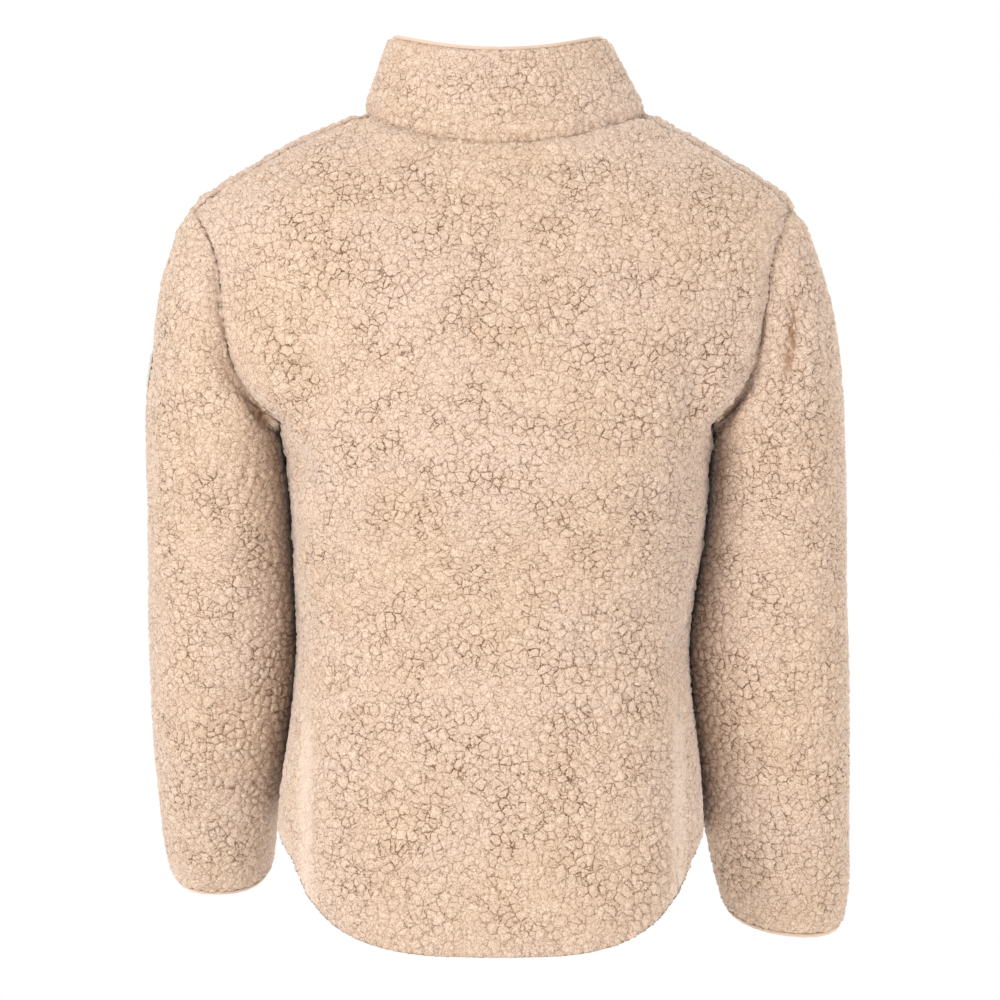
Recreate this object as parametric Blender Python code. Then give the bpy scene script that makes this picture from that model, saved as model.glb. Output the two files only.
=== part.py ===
"""A sheep-look fleece jacket with a stand collar and a front zip, hollow and filled out as worn.

The wearer's left is at +X, the back faces +Y and the origin lies between the shoulders, at the
height of the neck points. Every size is in millimetres until an object is made.
"""

import math

import bpy
import numpy as np

MM = 0.001

# Cloth and seams
WALL = 6.0
COLLAR_WALL = 7.0
SEAM_GAP = 0.3
HALF_GAP = SEAM_GAP / 2

# Cells of the panels, counted along and across the cloth
SIDE_ROWS = 14
ARMHOLE_ROWS = 12
SHOULDER_ROWS = 6
BACK_COLUMNS = 26
FRONT_COLUMNS = 12
SLEEVE_ROWS = 20
COLLAR_ROWS = 4

# The panels are evened out up the body over this length, less so in the columns at their edges
EVEN_LENGTH = 24.0
EDGE_COLUMNS = 4
HELD_END = 1e6

# Sections of the body. A section is level up to the armpit. Above it the sides rise to the
# shoulders, so each has a height at the side, the back and the front, and "back_z" orders them.
BODY_COLUMNS = ("back_z", "side_z", "front_z", "left", "right", "back", "front", "square")
BODY = (
    (-700, -700, -700, 183, 167, 124, 121, 2.50),
    (-600, -600, -600, 186, 171, 126, 123, 2.50),
    (-565, -565, -565, 185, 170, 127, 123, 2.50),
    (-530, -530, -530, 179, 165, 127, 122, 2.50),
    (-485, -485, -485, 172, 160, 126, 121, 2.45),
    (-440, -440, -440, 169, 156, 124, 119, 2.45),
    (-400, -400, -400, 170, 161, 123, 118, 2.45),
    (-355, -355, -355, 172, 168, 125, 118, 2.45),
    (-319, -319, -319, 174, 172, 127, 119, 2.50),
    (-290, -288, -291, 177, 174, 128.5, 120, 2.55),
    (-262, -257, -266, 184, 177, 129, 121, 2.60),
    (-250, -244, -256, 203, 194, 129, 121, 2.35),
    (-236, -228, -244, 224, 214, 128.5, 121, 2.20),
    (-220, -208, -230, 239, 228, 127.5, 121, 2.10),
    (-195, -180, -209, 249, 238, 125, 119, 2.10),
    (-165, -146, -184, 254, 244, 121, 116, 2.10),
    (-135, -110, -162, 258, 248, 115, 111, 2.10),
    (-113, -88, -146, 263, 251, 109, 106, 2.10),
    (-105, -78, -140, 262, 250, 106.5, 104, 2.10),
    (-98, -70, -135, 253, 243, 103.5, 102, 2.10),
    (-86, -56, -127, 236, 229, 98.5, 98.5, 2.10),
    (-72, -41, -117, 211, 205, 93, 95, 2.10),
    (-58, -26, -107, 186, 180, 87.5, 92, 2.10),
    (-42, -10, -95, 155, 154, 81, 89, 2.10),
    (-25, 5, -82, 115, 124, 75, 85, 2.10),
)

# The hem's height round each side: angles from the side, positive towards the back
HEM_COLUMNS = ("angle", "height")
HEM = (
    (-90, -642),
    (-60, -630),
    (-27, -606),
    (0, -596),
    (22, -612),
    (35, -644),
    (46, -664),
    (60, -679),
    (72, -685.5),
    (90, -688),
)

# Where the side seam runs, from the hem at 0 to the armpit at 1
SIDE_SEAM_COLUMNS = ("climb", "angle")
SIDE_SEAM = (
    (0.00, 34),
    (0.20, 32),
    (0.35, 25),
    (0.50, 14),
    (0.65, 7),
    (1.00, 4),
)

ARMPIT_LEVEL = -262
TIP_LEVEL = -105
NECK_LEVEL = -25
TIP_SEAM_ANGLE = 10
NECK_SEAM_ANGLE = 14
BACK_SCYE = 18
FRONT_SCYE = 37
SCYE_FULLNESS = 0.6

# Sections of the sleeves: a point on the outer side and one on the inner side, both away from
# the middle of the body, then the place and size of the section from front to back
SLEEVE_COLUMNS = (
    "down", "outer_x", "outer_z", "inner_x", "inner_z", "middle_y", "half_depth", "tilt", "square",
)
SLEEVE_LEFT = (
    (0, 262, -78, 186, -257, 0, 61, 0, 2.0),
    (25, 274, -101, 186, -260, -3, 66, 0, 2.0),
    (68, 287, -143, 185, -265, -8, 72, 0, 2.05),
    (110, 291, -185, 183, -273, -13, 76, 0, 2.1),
    (160, 298, -235, 179.5, -288, -20, 79, 0, 2.15),
    (205, 299, -280, 175, -307, -27, 79, 1, 2.2),
    (255, 298, -329, 172.2, -338, -32, 77, 3, 2.2),
    (305, 298, -379, 170, -382, -35, 75, 7, 2.2),
    (355, 298, -429, 169, -429, -40, 73, 12, 2.2),
    (405, 297.5, -477, 170, -475, -50, 70, 17, 2.2),
    (455, 296, -524, 177, -521, -63, 66, 20, 2.2),
    (505, 293, -569, 188, -566, -80, 62, 22, 2.25),
    (550, 290, -610, 194, -607, -96, 58, 23, 2.35),
    (578, 285, -634, 197, -632, -107, 55, 24, 2.4),
)
SLEEVE_RIGHT = (
    (0, 250, -78, 180, -257, 0, 61, 0, 2.0),
    (25, 262, -99, 180, -260, -3, 66, 0, 2.0),
    (68, 275, -137, 179, -265, -8, 72, 0, 2.05),
    (110, 283.5, -176, 177.5, -273, -13, 76, 0, 2.1),
    (160, 289, -226, 176, -287, -20, 79, 0, 2.15),
    (205, 291.5, -271, 173.3, -305, -26, 79, 1, 2.2),
    (255, 293, -321, 170.3, -334, -29, 77, 3, 2.2),
    (305, 293.5, -371, 164.5, -376, -32, 73, 6, 2.2),
    (355, 294.5, -421, 157.5, -422, -34, 68, 9, 2.2),
    (405, 296.5, -471, 157.5, -470, -38, 63, 11, 2.2),
    (455, 297.5, -520, 162, -518, -45, 58, 13, 2.2),
    (505, 298, -569, 171, -567, -54, 54, 15, 2.2),
    (555, 299, -620, 179, -614, -64, 50, 18, 2.2),
    (590, 299, -656, 186, -645, -73, 47, 22, 2.2),
    (609, 296, -676, 191, -663, -78, 45, 24, 2.2),
)
ARMHOLE_BLEND = 110

# The collar's upper edge
COLLAR_TOP = {
    "left": 94, "right": 91, "back": 66, "front": 85,
    "side_z": 68, "back_z": 51, "front_z": -8, "square": 2.15,
}

# Narrow smooth edges along the collar and the cuffs
EDGE_HEIGHT = 3.2
EDGE_THICK = 2.6
COLLAR_EDGE_IN = 3.4
CUFF_EDGE_IN = 1.8

# Largest folds: a line from one end to the other, its width, and its depth, which is
# negative for a trough and positive for a ridge
FOLD_COLUMNS = ("x0", "y0", "z0", "x1", "y1", "z1", "width", "depth")
FOLDS = (
    (160, 100, -180, 170, 92, -245, 20, -5.0),
    (186, 75, -175, 190, 72, -225, 15, 3.0),
    (-158, 100, -205, -166, 90, -262, 18, -5.5),
    (-182, 80, -215, -172, 78, -268, 14, 4.0),
    (110, 115, -318, 168, 60, -285, 15, -3.0),
    (-120, 112, -330, -168, 60, -292, 15, -3.5),
    (70, 122, -352, -60, 122, -362, 14, -2.2),
    (90, 118, -395, 168, 40, -420, 16, -2.8),
    (-80, 118, -430, -150, 50, -445, 16, -3.0),
    (150, 90, -520, 172, 70, -610, 14, -2.5),
    (-142, 95, -530, -152, 80, -615, 14, -2.5),
    (110, -105, -318, 165, -60, -280, 16, -3.5),
    (-110, -105, -322, -165, -60, -285, 16, -3.5),
    (60, -115, -380, 150, -75, -410, 16, -2.5),
    (-60, -115, -385, -148, -75, -402, 16, -2.5),
    (230, 75, -285, 285, 40, -250, 15, -3.5),
    (285, 45, -330, 215, 66, -352, 14, -3.5),
    (292, 20, -385, 225, 52, -402, 13, -3.0),
    (200, 40, -445, 262, 42, -420, 13, -2.5),
    (225, -90, -380, 280, -70, -400, 15, -3.5),
    (-228, 75, -290, -282, 45, -245, 15, -3.5),
    (-286, 40, -340, -220, 62, -365, 14, -3.5),
    (-290, 20, -400, -225, 45, -420, 13, -3.0),
    (-200, 35, -470, -262, 38, -440, 13, -2.5),
    (-225, -85, -390, -280, -65, -410, 15, -3.5),
)
SEAM_GUARD = 26

# Zip: the tapes lie behind the fronts, and a thicker bead along each inner edge carries the teeth
FRONT_EDGE_X = 7.5
TAPE_OUTER_X = 17
TAPE_THICK = 1.0
BEAD_INNER_X = 1.3
BEAD_OUTER_X = 3.8
BEAD_THICK = 2.6
TAPE_END_IN = 2.5

# Slider: two plates joined by a neck, with an arch on the front plate that holds the pull tab
SLIDER_Z = -25
SLIDER_LENGTH = 13
SLIDER_TOP_WIDTH = 10.4
SLIDER_END_WIDTH = 7.6
PLATE_THICK = 1.8
PLATE_CLEAR = 0.35
NECK_HALF_WIDTH = 0.9
NECK_LENGTH = 4.0
ARCH_INNER = 2.0
ARCH_OUTER = 3.2
ARCH_WIDTH = 2.4
ARCH_SINK = 0.4
ARCH_Z = 1.5
ARCH_STEPS = 12

# Pull tab: a bar under the arch, two side bars beside it and a flat tab below
PIVOT_OUT = 0.98
BAR_RADIUS = 0.5
BAR_SIDES = 12
BAR_GRIP = 0.6
TAB_TOP = 0.2
TAB_THICK = 1.2
WINDOW_HALF_WIDTH = 1.75
WINDOW_END = 4.1
TAB_NECK_HALF_WIDTH = 2.95
TAB_HALF_WIDTH = 3.7
TAB_SHOULDER = 8.0
TAB_LENGTH = 30
TAB_HOLE_FROM = 19
TAB_HOLE_TO = 26
TAB_HOLE_HALF_WIDTH = 1.9
TAB_ROUND_STEPS = 5

# The bare patch on the left sleeve
PATCH_FROM = 121
PATCH_TO = 148
PATCH_ANGLES = (-36, 17)
PATCH_THICK = 1.6
PATCH_ROWS = 3
PATCH_COLUMNS = 6

# Materials: base colour, roughness, metallic
FLEECE = ("fleece", (0.78, 0.63, 0.49), 0.95, 0.0)
SMOOTH_EDGE = ("smooth_edge", (0.72, 0.54, 0.42), 0.7, 0.0)
TAPE = ("zip_tape", (0.62, 0.49, 0.38), 0.8, 0.0)
METAL = ("slider_metal", (0.55, 0.50, 0.44), 0.35, 1.0)
PATCH = ("patch", (0.85, 0.83, 0.79), 0.6, 0.0)


def columns(names, rows):
    """A table as one array of numbers for each named column."""
    return dict(zip(names, np.array(rows, float).T))


def smooth_curve(at, knots, values):
    """Values on a smooth curve through the knots, held level past its ends."""
    slopes = np.gradient(values, knots)
    at = np.clip(at, knots[0], knots[-1])
    step = np.clip(np.searchsorted(knots, at, side="right") - 1, 0, len(knots) - 2)
    width = knots[step + 1] - knots[step]
    part = (at - knots[step]) / width
    square, cube = part**2, part**3
    return (
        (2 * cube - 3 * square + 1) * values[step]
        + (cube - 2 * square + part) * width * slopes[step]
        + (3 * square - 2 * cube) * values[step + 1]
        + (cube - square) * width * slopes[step + 1]
    )


def signed_power(value, power):
    return np.sign(value) * np.abs(value) ** power


def unit(vectors):
    return vectors / np.linalg.norm(vectors, axis=-1, keepdims=True)


def eased(value):
    """Rises from 0 to 1 with soft ends, as value goes from 0 to 1."""
    value = np.clip(value, 0, 1)
    return value * value * (3 - 2 * value)


BODY_TABLE = columns(BODY_COLUMNS, BODY)
HEM_TABLE = columns(HEM_COLUMNS, HEM)
SIDE_SEAM_TABLE = columns(SIDE_SEAM_COLUMNS, SIDE_SEAM)
FOLD_TABLE = columns(FOLD_COLUMNS, FOLDS)
SLEEVE_TABLES = {
    1: columns(SLEEVE_COLUMNS, SLEEVE_LEFT),
    -1: columns(SLEEVE_COLUMNS, SLEEVE_RIGHT),
}


def section_point(angle, size):
    """A point of a rounded section; 0 degrees is the wearer's left and 90 the back."""
    cosine, sine = np.cos(np.radians(angle)), np.sin(np.radians(angle))
    half_width = np.where(cosine > 0, size["left"], size["right"])
    half_depth = np.where(sine > 0, size["back"], size["front"])
    end_z = np.where(sine > 0, size["back_z"], size["front_z"])
    power = 2 / size["square"]
    return np.stack(
        [
            half_width * signed_power(cosine, power),
            half_depth * signed_power(sine, power),
            size["side_z"] + (end_z - size["side_z"]) * sine**2,
        ],
        axis=-1,
    )


def body_size(level):
    """The sizes of the body's section whose height at the back is this level."""
    knots = BODY_TABLE["back_z"]
    return {name: smooth_curve(level, knots, BODY_TABLE[name]) for name in BODY_COLUMNS}


def body_point(angle, level):
    return section_point(angle, body_size(level))


def side_angle(angle):
    """How far a place is from its nearer side, positive towards the back."""
    sine = np.sin(np.radians(angle))
    return np.degrees(np.arcsin(np.clip(sine, -1, 1)))


def level_at(angle, climb):
    """The level on the way up: 0 is the hem, 1 the armpit, 2 the shoulder's tip, 3 the neck."""
    hem = smooth_curve(side_angle(angle), HEM_TABLE["angle"], HEM_TABLE["height"])
    below = hem + (ARMPIT_LEVEL - hem) * np.clip(climb, 0, 1)
    turn = np.pi * (2 - np.clip(climb, 1, 2))
    beside = (ARMPIT_LEVEL + TIP_LEVEL) / 2 + (TIP_LEVEL - ARMPIT_LEVEL) / 2 * np.cos(turn)
    above = TIP_LEVEL + (NECK_LEVEL - TIP_LEVEL) * np.clip(climb - 2, 0, 1)
    return np.where(climb <= 1, below, np.where(climb <= 2, beside, above))


def edge_angle(climb, scye):
    """Angle of a panel's edge: side seam, armhole, then shoulder seam."""
    seam = smooth_curve(climb, SIDE_SEAM_TABLE["climb"], SIDE_SEAM_TABLE["angle"])
    up_armhole = np.clip(climb - 1, 0, 1)
    armpit_angle = SIDE_SEAM_TABLE["angle"][-1]
    middle = armpit_angle + (TIP_SEAM_ANGLE - armpit_angle) * up_armhole
    reach = np.sin(np.pi * up_armhole).clip(0) ** SCYE_FULLNESS
    armhole = middle + scye * reach
    shoulder = TIP_SEAM_ANGLE + (NECK_SEAM_ANGLE - TIP_SEAM_ANGLE) * np.clip(climb - 2, 0, 1)
    return np.where(climb <= 1, seam, np.where(climb <= 2, armhole, shoulder))


def on_side(side, angle):
    """The same angle on the wearer's left, side 1, or mirrored to the right, side -1."""
    return angle if side > 0 else 180 - angle


def body_normals(angle, level):
    """Outward normals, from small steps round the body and up it."""
    step = 0.5
    rise = 0.6
    round_step = body_point(angle + step, level) - body_point(angle - step, level)
    up_step = body_point(angle, level + rise) - body_point(angle, level - rise)
    return unit(np.cross(round_step, up_step))


def armhole_loop(side, turns):
    """Points round the armhole. A turn of 0 is the top, 90 the back and 180 the armpit."""
    turns = turns % 360
    climb = 2 - np.where(turns > 180, 360 - turns, turns) / 180
    scye = np.where(turns <= 180, BACK_SCYE, -FRONT_SCYE)
    angle = on_side(side, edge_angle(climb, scye))
    level = level_at(angle, climb)
    return body_point(angle, level), body_normals(angle, level)


def sleeve_oval(side, down, turns):
    table = SLEEVE_TABLES[side]
    size = {name: smooth_curve(down, table["down"], table[name]) for name in SLEEVE_COLUMNS}
    power = 2 / size["square"]
    across = signed_power(np.cos(np.radians(turns)), power)
    back = signed_power(np.sin(np.radians(turns)), power) * size["half_depth"]
    tilt = np.radians(size["tilt"])
    x = (size["outer_x"] + size["inner_x"]) / 2 + (size["outer_x"] - size["inner_x"]) / 2 * across
    z = (size["outer_z"] + size["inner_z"]) / 2 + (size["outer_z"] - size["inner_z"]) / 2 * across
    return np.stack(
        [side * x, size["middle_y"] + back * np.cos(tilt), z - back * np.sin(tilt)], axis=-1
    )


def sleeve_point(side, down, turns):
    """The sleeve leaves the armhole's own loop and becomes a plain oval further down."""
    start = armhole_loop(side, turns)[0] - sleeve_oval(side, np.zeros_like(down), turns)
    hold = 1 - eased(down / ARMHOLE_BLEND)
    return sleeve_oval(side, down, turns) + start * hold[..., None]


def sleeve_normals(side, down, turns):
    step = 1.0
    first = np.maximum(down - step, 0)
    down_step = sleeve_point(side, first + 2 * step, turns) - sleeve_point(side, first, turns)
    round_step = sleeve_point(side, down, turns + step) - sleeve_point(side, down, turns - step)
    return side * unit(np.cross(down_step, round_step))


def collar_point(angle, rise):
    """The collar goes from the neckline, where rise is 0, to its upper edge at 1."""
    base = body_point(angle, np.full_like(angle, NECK_LEVEL, dtype=float))
    top = section_point(angle, COLLAR_TOP)
    return base + (top - base) * rise[..., None]


def collar_normals(angle, rise):
    step = 0.5
    round_step = collar_point(angle + step, rise) - collar_point(angle - step, rise)
    up_step = collar_point(angle, rise + 0.05) - collar_point(angle, rise - 0.05)
    return unit(np.cross(round_step, up_step))


def guard_points():
    """Points on the armholes and the neckline, where folds fade out."""
    turns = np.arange(0, 360, 180 / ARMHOLE_ROWS)
    neck_angles = np.arange(0, 360, 10.0)
    neck = body_point(neck_angles, np.full_like(neck_angles, NECK_LEVEL))
    return np.concatenate([armhole_loop(1, turns)[0], armhole_loop(-1, turns)[0], neck])


GUARD = guard_points()


def fold_depth(points):
    """How far the folds move each point out, fading to nothing at the armholes and the neck."""
    start = np.stack([FOLD_TABLE[name] for name in ("x0", "y0", "z0")], axis=-1)
    end = np.stack([FOLD_TABLE[name] for name in ("x1", "y1", "z1")], axis=-1)
    line = end - start
    away = points[..., None, :] - start
    part = np.clip((away * line).sum(-1) / (line**2).sum(-1), 0, 1)
    distance = np.linalg.norm(away - part[..., None] * line, axis=-1)
    depth = (FOLD_TABLE["depth"] * np.exp(-((distance / FOLD_TABLE["width"]) ** 2))).sum(-1)
    to_seam = np.linalg.norm(points[..., None, :] - GUARD, axis=-1).min(-1)
    return depth * eased(to_seam / SEAM_GUARD)


def folded(points, normals):
    return points + normals * fold_depth(points)[..., None]


def along_edge(edge, closed):
    if closed:
        return np.roll(edge, -1, axis=0) - np.roll(edge, 1, axis=0)
    return np.gradient(edge, axis=0)


def pull_in(outer, inner, normals, side, closed=False):
    """Moves one edge of a panel in by half a seam gap, square to the edge and in the cloth."""
    edge = {"left": np.s_[:, 0], "right": np.s_[:, -1], "low": np.s_[0], "high": np.s_[-1]}[side]
    near = {"left": np.s_[:, 1], "right": np.s_[:, -2], "low": np.s_[1], "high": np.s_[-2]}[side]
    inwards = unit(np.cross(along_edge(outer[edge], closed), normals[edge]))
    sign = np.sign(((outer[near] - outer[edge]) * inwards).sum(-1, keepdims=True))
    outer[edge] += inwards * sign * HALF_GAP
    inner[edge] += inwards * sign * HALF_GAP


def body_climbs():
    side = np.linspace(0, 1, SIDE_ROWS + 1)
    armhole = 1 + np.linspace(0, 1, ARMHOLE_ROWS + 1)[1:]
    shoulder = 2 + np.linspace(0, 1, SHOULDER_ROWS + 1)[1:]
    return np.concatenate([side, armhole, shoulder])


def angle_beside_middle(level, x):
    """The angle of a place on the front, at this distance from the middle."""
    size = body_size(level)
    ratio = x / np.minimum(size["left"], size["right"])
    return -np.degrees(np.arccos(ratio ** (size["square"] / 2)))


def neck_normals(angle):
    """Normals halfway between the body's and the collar's, for both pieces at the neckline."""
    level = np.full_like(angle, NECK_LEVEL, dtype=float)
    below = body_normals(angle, level - 1)
    return unit(below + collar_normals(angle, np.zeros_like(angle)))


def armhole_normals(side, turns):
    """Normals halfway between the body's and the sleeve's, for both pieces at the armhole."""
    down = np.zeros_like(turns, dtype=float)
    return unit(armhole_loop(side, turns)[1] + sleeve_normals(side, down, turns))


def evening(line):
    """A matrix that evens out what is bent along this line of points and holds its ends."""
    step = np.linalg.norm(np.diff(line, axis=0), axis=1)
    low, high = step[:-1], step[1:]
    middle = np.arange(1, len(line) - 1)
    bend = np.zeros((len(line) - 2, len(line)))
    bend[middle - 1, middle - 1] = 2 / (low * (low + high))
    bend[middle - 1, middle] = -2 / (low * high)
    bend[middle - 1, middle + 1] = 2 / (high * (low + high))
    share = np.concatenate([step[:1], low + high, step[-1:]]) / 2
    hold = share.copy()
    hold[[0, -1]] = HELD_END
    stiff = EVEN_LENGTH**4 * bend.T @ (share[1:-1, None] * bend)
    return np.linalg.solve(np.diag(hold) + stiff, np.diag(hold))


def evened(points, normals):
    """A panel's points and normals without the bends that the steps of the tables leave."""
    last = points.shape[1] - 1
    even_points, even_normals = points.copy(), normals.copy()
    for column in range(1, last):
        share = eased(min(column, last - column) / EDGE_COLUMNS)
        matrix = share * evening(points[:, column]) + (1 - share) * np.eye(len(points))
        even_points[:, column] = matrix @ points[:, column]
        even_normals[:, column] = unit(matrix @ normals[:, column])
    return even_points, even_normals


def panel_walls(first, last, count):
    """Outer points and normals of a body panel between two edges, given for each row."""
    climbs = body_climbs()
    across = np.linspace(0, 1, count + 1)
    angles = first[:, None] + (last - first)[:, None] * across
    climb = np.repeat(climbs[:, None], count + 1, axis=1)
    level = level_at(angles, climb)
    points, normals = evened(body_point(angles, level), body_normals(angles, level))
    outer = folded(points, normals)
    normals[-1] = neck_normals(angles[-1])
    return outer, normals


def set_armhole_normals(normals, column, side, front):
    """Gives a panel's edge the normals that it shares with the sleeve."""
    rows = np.arange(ARMHOLE_ROWS + 1)
    turns = 180 - rows * 180 / ARMHOLE_ROWS
    turns = np.where(front & (turns > 0), 360 - turns, turns)
    normals[SIDE_ROWS : SIDE_ROWS + ARMHOLE_ROWS + 1, column] = armhole_normals(side, turns)


def back_walls():
    climbs = body_climbs()
    first = edge_angle(climbs, BACK_SCYE)
    outer, normals = panel_walls(first, 180 - first, BACK_COLUMNS)
    set_armhole_normals(normals, 0, 1, False)
    set_armhole_normals(normals, -1, -1, False)
    inner = outer - normals * WALL
    for side in ("left", "right", "high"):
        pull_in(outer, inner, normals, side)
    return outer, inner


def front_walls(side):
    climbs = body_climbs()
    middle_angle = np.full_like(climbs, -90)
    first = angle_beside_middle(level_at(middle_angle, climbs), FRONT_EDGE_X)
    last = edge_angle(climbs, -FRONT_SCYE)
    outer, normals = panel_walls(on_side(side, first), on_side(side, last), FRONT_COLUMNS)
    set_armhole_normals(normals, -1, side, True)
    inner = outer - normals * WALL
    for edge in ("right", "high"):
        pull_in(outer, inner, normals, edge)
    return outer, inner


def sleeve_grid(side):
    length = SLEEVE_TABLES[side]["down"][-1]
    down, turns = np.meshgrid(
        np.linspace(0, length, SLEEVE_ROWS + 1),
        np.arange(0, 360, 180 / ARMHOLE_ROWS),
        indexing="ij",
    )
    normals = sleeve_normals(side, down, turns)
    outer = folded(sleeve_point(side, down, turns), normals)
    normals[0] = armhole_normals(side, turns[0])
    return outer, normals


def sleeve_walls(side):
    outer, normals = sleeve_grid(side)
    inner = outer - normals * WALL
    pull_in(outer, inner, normals, "low", closed=True)
    return outer, inner


def collar_angles():
    """The angles of the columns round the neckline, the same as in the panels below."""
    neck = np.array([3.0])
    front_edge = angle_beside_middle(np.array([NECK_LEVEL], float), FRONT_EDGE_X)[0]
    seam = edge_angle(neck, BACK_SCYE)[0]
    left = np.linspace(front_edge, seam, FRONT_COLUMNS + 1)
    back = np.linspace(seam, 180 - seam, BACK_COLUMNS + 1)
    return np.concatenate([left, back[1:], 180 - left[::-1][1:]])


def collar_grid():
    angles, rise = np.meshgrid(
        collar_angles(), np.linspace(0, 1, COLLAR_ROWS + 1), indexing="xy"
    )
    normals = collar_normals(angles, rise)
    outer = collar_point(angles, rise)
    normals[0] = neck_normals(angles[0])
    return outer, normals


def collar_walls():
    outer, normals = collar_grid()
    inner = outer - normals * COLLAR_WALL
    inner[0] = outer[0] - normals[0] * WALL
    pull_in(outer, inner, normals, "low")
    return outer, inner


def edge_band(edge, before, normals, depth_in):
    """A narrow band that continues a cloth edge, set in from its outer face."""
    onwards = unit(edge - before)
    face = edge - normals * depth_in + onwards * SEAM_GAP
    outer = np.stack([face, face + onwards * EDGE_HEIGHT])
    return outer, outer - normals * EDGE_THICK


def split_rim(points, a, b, c, d):
    """A rim face as two triangles along its shorter diagonal, so that neighbours match."""
    if np.linalg.norm(points[a] - points[c]) < np.linalg.norm(points[b] - points[d]):
        return [(a, b, c), (a, c, d)]
    return [(a, b, d), (b, c, d)]


def wall_faces(points, rows, count, closed):
    """Faces of a wall whose outer points come first, then its inner ones."""
    inner = rows * count
    faces = []
    last = count if closed else count - 1
    for i in range(rows - 1):
        for j in range(last):
            a, b = i * count + j, i * count + (j + 1) % count
            c, d = b + count, a + count
            faces.append((a, b, c, d))
            faces.append((d + inner, c + inner, b + inner, a + inner))
    top = (rows - 1) * count
    for j in range(last):
        a, b = j, (j + 1) % count
        faces += split_rim(points, b, a, a + inner, b + inner)
        a, b = top + a, top + b
        faces += split_rim(points, a, b, b + inner, a + inner)
    if not closed:
        for i in range(rows - 1):
            a, d = i * count, (i + 1) * count
            faces += split_rim(points, a, d, d + inner, a + inner)
            b, c = a + count - 1, d + count - 1
            faces += split_rim(points, c, b, b + inner, c + inner)
    return faces


def material(spec):
    name, colour, roughness, metallic = spec
    found = bpy.data.materials.get(name)
    if found:
        return found
    made = bpy.data.materials.new(name)
    made.use_nodes = True
    shader = made.node_tree.nodes["Principled BSDF"]
    shader.inputs["Base Color"].default_value = (*colour, 1)
    shader.inputs["Roughness"].default_value = roughness
    shader.inputs["Metallic"].default_value = metallic
    return made


def add_object(name, points, faces, spec, sharp_angle=40):
    mesh = bpy.data.meshes.new(name)
    mesh.from_pydata([tuple(point) for point in np.asarray(points) * MM], [], faces)
    mesh.shade_smooth()
    mesh.set_sharp_from_angle(angle=math.radians(sharp_angle))
    mesh.materials.append(material(spec))
    made = bpy.data.objects.new(name, mesh)
    bpy.context.scene.collection.objects.link(made)
    return made


def outward(points, faces):
    """The faces, turned round if they point into the solid."""
    volume = 0.0
    for face in faces:
        first = points[face[0]]
        for b, c in zip(face[1:], face[2:]):
            volume += np.dot(first, np.cross(points[b], points[c]))
    return faces if volume > 0 else [face[::-1] for face in faces]


def add_wall(name, walls, spec, closed=False):
    outer, inner = walls
    rows, count = outer.shape[:2]
    points = np.concatenate([outer.reshape(-1, 3), inner.reshape(-1, 3)])
    faces = outward(points, wall_faces(points, rows, count, closed))
    return add_object(name, points, faces, spec)


def add_prism(name, outline, low, high, spec):
    """A solid with this outline in X and Z, between two depths in Y."""
    count = len(outline)
    points = [(x, low, z) for x, z in outline] + [(x, high, z) for x, z in outline]
    faces = [tuple(range(count)), tuple(range(2 * count - 1, count - 1, -1))]
    faces += [(i, i + count, (i + 1) % count + count, (i + 1) % count) for i in range(count)]
    points = np.array(points, float)
    return add_object(name, points, outward(points, faces), spec)


def combine(target, tool, operation):
    """Joins a second solid to the first, or cuts it out, and removes it."""
    modifier = target.modifiers.new(tool.name, "BOOLEAN")
    modifier.operation = operation
    modifier.object = tool
    graph = bpy.context.evaluated_depsgraph_get()
    result = bpy.data.meshes.new_from_object(target.evaluated_get(graph))
    target.modifiers.clear()
    target.data = result
    bpy.data.objects.remove(tool, do_unlink=True)


def front_strip(side, x):
    """A line up the front and the collar at this distance from the middle, with its normals."""
    climbs = body_climbs()
    middle = np.full_like(climbs, -90.0)
    level = level_at(middle, climbs)
    angle = on_side(side, angle_beside_middle(level, x))
    normals = body_normals(angle, level)
    normals[-1] = neck_normals(angle[-1:])[0]
    points = body_point(angle, level)
    rise = np.linspace(0, 1, COLLAR_ROWS + 1)[1:]
    angle = np.full_like(rise, angle[-1])
    points = np.concatenate([points, collar_point(angle, rise)])
    normals = np.concatenate([normals, collar_normals(angle, rise)])
    points[0] += unit(points[1] - points[0]) * TAPE_END_IN
    points[-1] += unit(points[-2] - points[-1]) * TAPE_END_IN
    return points, normals


def tape_section():
    """Corners of the tape: distance from the middle, then distance in from its own face."""
    half, bead = TAPE_THICK / 2, BEAD_THICK / 2
    return (
        (BEAD_INNER_X, -bead),
        (BEAD_OUTER_X, -bead),
        (BEAD_OUTER_X, -half),
        (TAPE_OUTER_X, -half),
        (TAPE_OUTER_X, half),
        (BEAD_OUTER_X, half),
        (BEAD_OUTER_X, bead),
        (BEAD_INNER_X, bead),
    )


def tape_depth():
    """From the front's outer face in to the middle of the tape."""
    return COLLAR_WALL + SEAM_GAP + TAPE_THICK / 2


def add_tape(name, side):
    section = tape_section()
    lines = []
    for x, depth in section:
        line, normals = front_strip(side, x)
        lines.append(line - normals * (tape_depth() + depth))
    points = np.stack(lines, axis=1).reshape(-1, 3)
    count, rows = len(section), len(lines[0])
    faces = []
    for i in range(rows - 1):
        for j in range(count):
            a, b = i * count + j, i * count + (j + 1) % count
            faces.append((a, b, b + count, a + count))
    faces.append(tuple(range(count))[::-1])
    faces.append(tuple(range((rows - 1) * count, rows * count)))
    return add_object(name, points, outward(points, faces), TAPE)


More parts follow.
